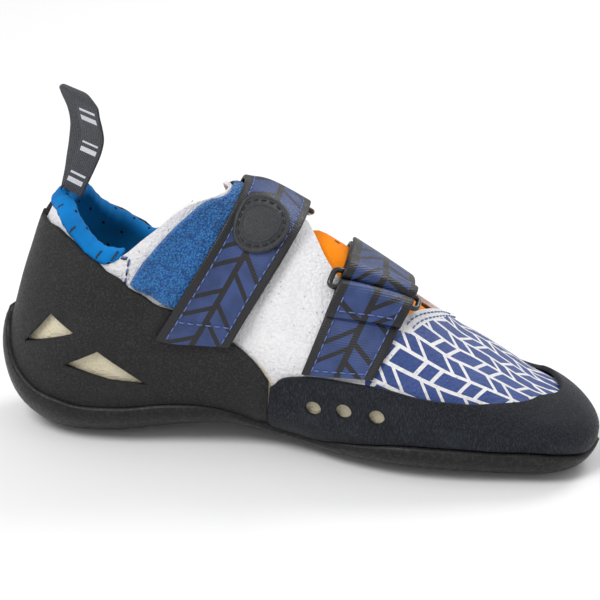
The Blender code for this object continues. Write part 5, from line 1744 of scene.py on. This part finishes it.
def collar_seams(dark_thread, blue_thread):
    """The seam down from the padding's front end, the one up the heel, and the padding's sewn ties."""
    seam = np.array(COLLAR_SEAM)
    for number, (aside, finish) in enumerate(((-SEAM_APART, dark_thread), (SEAM_APART, blue_thread))):
        line = curve(girth_place(seam[:, 0] + aside, seam[:, 1] + aside, -1), COLLAR_SEAM_POINTS)
        upper_seam(f"collar_front_seam_{number}", line, finish, SEAM_SCALE)
    for number, girth in enumerate(TIES):
        turns = np.full(TIE_STEPS, -(1 - girth)) + np.linspace(0, TIE_SLANT, TIE_STEPS)
        angles = np.radians(np.linspace(*TIE_ANGLES, TIE_STEPS))
        line = pad_points(turns, angles)
        outward = pad_points(turns, angles, proud=PROBE) - line
        piece(stitches(f"collar_tie_{number}", line, outward, dark_thread, scale=SEAM_SCALE), "blue_lining")
    stations = np.linspace(*BACK_SEAM, TIE_STEPS)
    line = place(stations, np.full(TIE_STEPS, -1.0))
    upper_seam("back_seam", line, dark_thread, SEAM_SCALE)


# Camera, floor and light


def camera():
    azimuth, elevation = np.radians(CAMERA_AZIMUTH), np.radians(CAMERA_ELEVATION)
    back = np.array([
        np.sin(azimuth) * np.cos(elevation), -np.cos(azimuth) * np.cos(elevation), np.sin(elevation),
    ])
    data = bpy.data.cameras.new("camera")
    data.lens = CAMERA_LENS
    data.sensor_width = CAMERA_SENSOR
    data.shift_x, data.shift_y = CAMERA_SHIFT
    thing = linked("camera", data)
    thing.location = np.array(CAMERA_TARGET) + back * CAMERA_DISTANCE
    thing.rotation_euler = (np.pi / 2 - elevation, 0, azimuth)
    bpy.context.scene.camera = thing


def area_light(name, location, size, power):
    """A soft round lamp that faces the shoe."""
    data = bpy.data.lights.new(name, "AREA")
    data.shape = "DISK"
    data.size = size
    data.energy = power
    thing = linked(name, data)
    thing.location = location
    away = np.array(location) - np.array(CAMERA_TARGET)
    flat = np.hypot(away[0], away[1])
    thing.rotation_euler = (np.arctan2(flat, away[2]), 0, np.arctan2(away[1], away[0]) + np.pi / 2)


def studio():
    world = bpy.data.worlds.new("studio")
    world.use_nodes = True
    background = world.node_tree.nodes["Background"].inputs
    background["Color"].default_value = (1.0, 1.0, 1.0, 1.0)
    background["Strength"].default_value = WORLD_STRENGTH
    bpy.context.scene.world = world
    mesh = bpy.data.meshes.new("floor")
    corners = [(x * FLOOR_HALF, y * FLOOR_HALF, 0) for x, y in ((-1, -1), (1, -1), (1, 1), (-1, 1))]
    mesh.from_pydata(corners, [], [(0, 1, 2, 3)])
    mesh.materials.append(Finish("pale_floor").finish(FLOOR, 0.9))
    floor = linked("floor", mesh)
    floor.location = (0, 0, -FLOOR_DROP)
    for light in LIGHTS:
        area_light(*light)
    bpy.context.scene.view_settings.view_transform = "Standard"


def build():
    white = white_leather("white_leather")
    rand_finish = rubber("heel_rubber_finish", RUBBER, RUBBER_DUST_AND_SHEEN)
    toe_grain = {"grain": 0.0007, "depth": 0.00055, "stretch": BRUSHED}
    toe_finish = rubber("toe_rubber_finish", TOE_RUBBER, TOE_RUBBER_DUST_AND_SHEEN, **toe_grain)
    sole_finish = rubber("sole_rubber_finish", SOLE, SOLE_DUST_AND_SHEEN, grain=0.0014, depth=0.00012, gloss=0.08)
    lining = knit("lining_fabric", LINING, LINING_LIGHT, hole_pitch=0.0105, hole_radius=0.00075)
    orange = knit("tongue_mesh", ORANGE, ORANGE_LIGHT, hole_pitch=0.0135, hole_radius=0.0010, weave=0.0009)
    board = knit("insole_fabric", BOARD, BOARD_LIGHT)
    blue_thread = thread("blue_thread", BLUE_THREAD)
    black_thread = thread("black_thread", BLACK_THREAD)
    navy_rear = printed_webbing("rear_webbing", REAR_STRAP_WIDTH)
    navy_front = printed_webbing("front_webbing", FRONT_STRAP_WIDTH)
    ring_finish = plastic()
    badge_finish = rubber("badge_rubber_finish", BADGE_GREY, BADGE_DUST_AND_SHEEN, depth=0.00012)
    upper(white)
    insole(board)
    tongue(orange)
    collar_lining(lining)
    outsole(sole_finish)
    toe_rand(toe_finish)
    heel_rand(rand_finish)
    pile_panel(loop_pile())
    rear_way, front_way = strip(REAR_STRAP), strip(FRONT_STRAP)
    anchor_way = dict(rear_way, along=rear_way["along"] - RING_SPAN)
    straps = (
        ("rear_strap", rear_way, REAR_STRAP_ENDS, rear_path, navy_rear, REAR_STRAP_WIDTH),
        ("rear_anchor", anchor_way, REAR_ANCHOR_ENDS, anchor_path(-1), navy_rear, REAR_STRAP_WIDTH),
        ("front_strap", front_way, FRONT_STRAP_ENDS, front_path, navy_front, FRONT_STRAP_WIDTH),
        ("front_anchor", front_way, FRONT_ANCHOR_ENDS, anchor_path(1), navy_front, FRONT_STRAP_WIDTH),
    )
    for name, way, ends, path_from, finish, width in straps:
        piece(webbing(f"{name}_webbing", way, ends, path_from, finish, width), "navy_webbing", name)
    for name, way, ends, path_from, _, width in straps:
        strap_stitches(name, way, ends, path_from, width, blue_thread)
    ring("rear_ring_wire", "rear_ring", rear_way, RING_SPAN / 2, ring_finish)
    ring("front_ring_wire", "front_ring", front_way, RING_SPAN / 2, ring_finish)
    badge(rear_way, badge_finish, black_thread)
    pull_loop(grey_webbing())
    throat_seams(blue_thread)
    collar_seams(black_thread, blue_thread)
    studio()
    camera()


build()
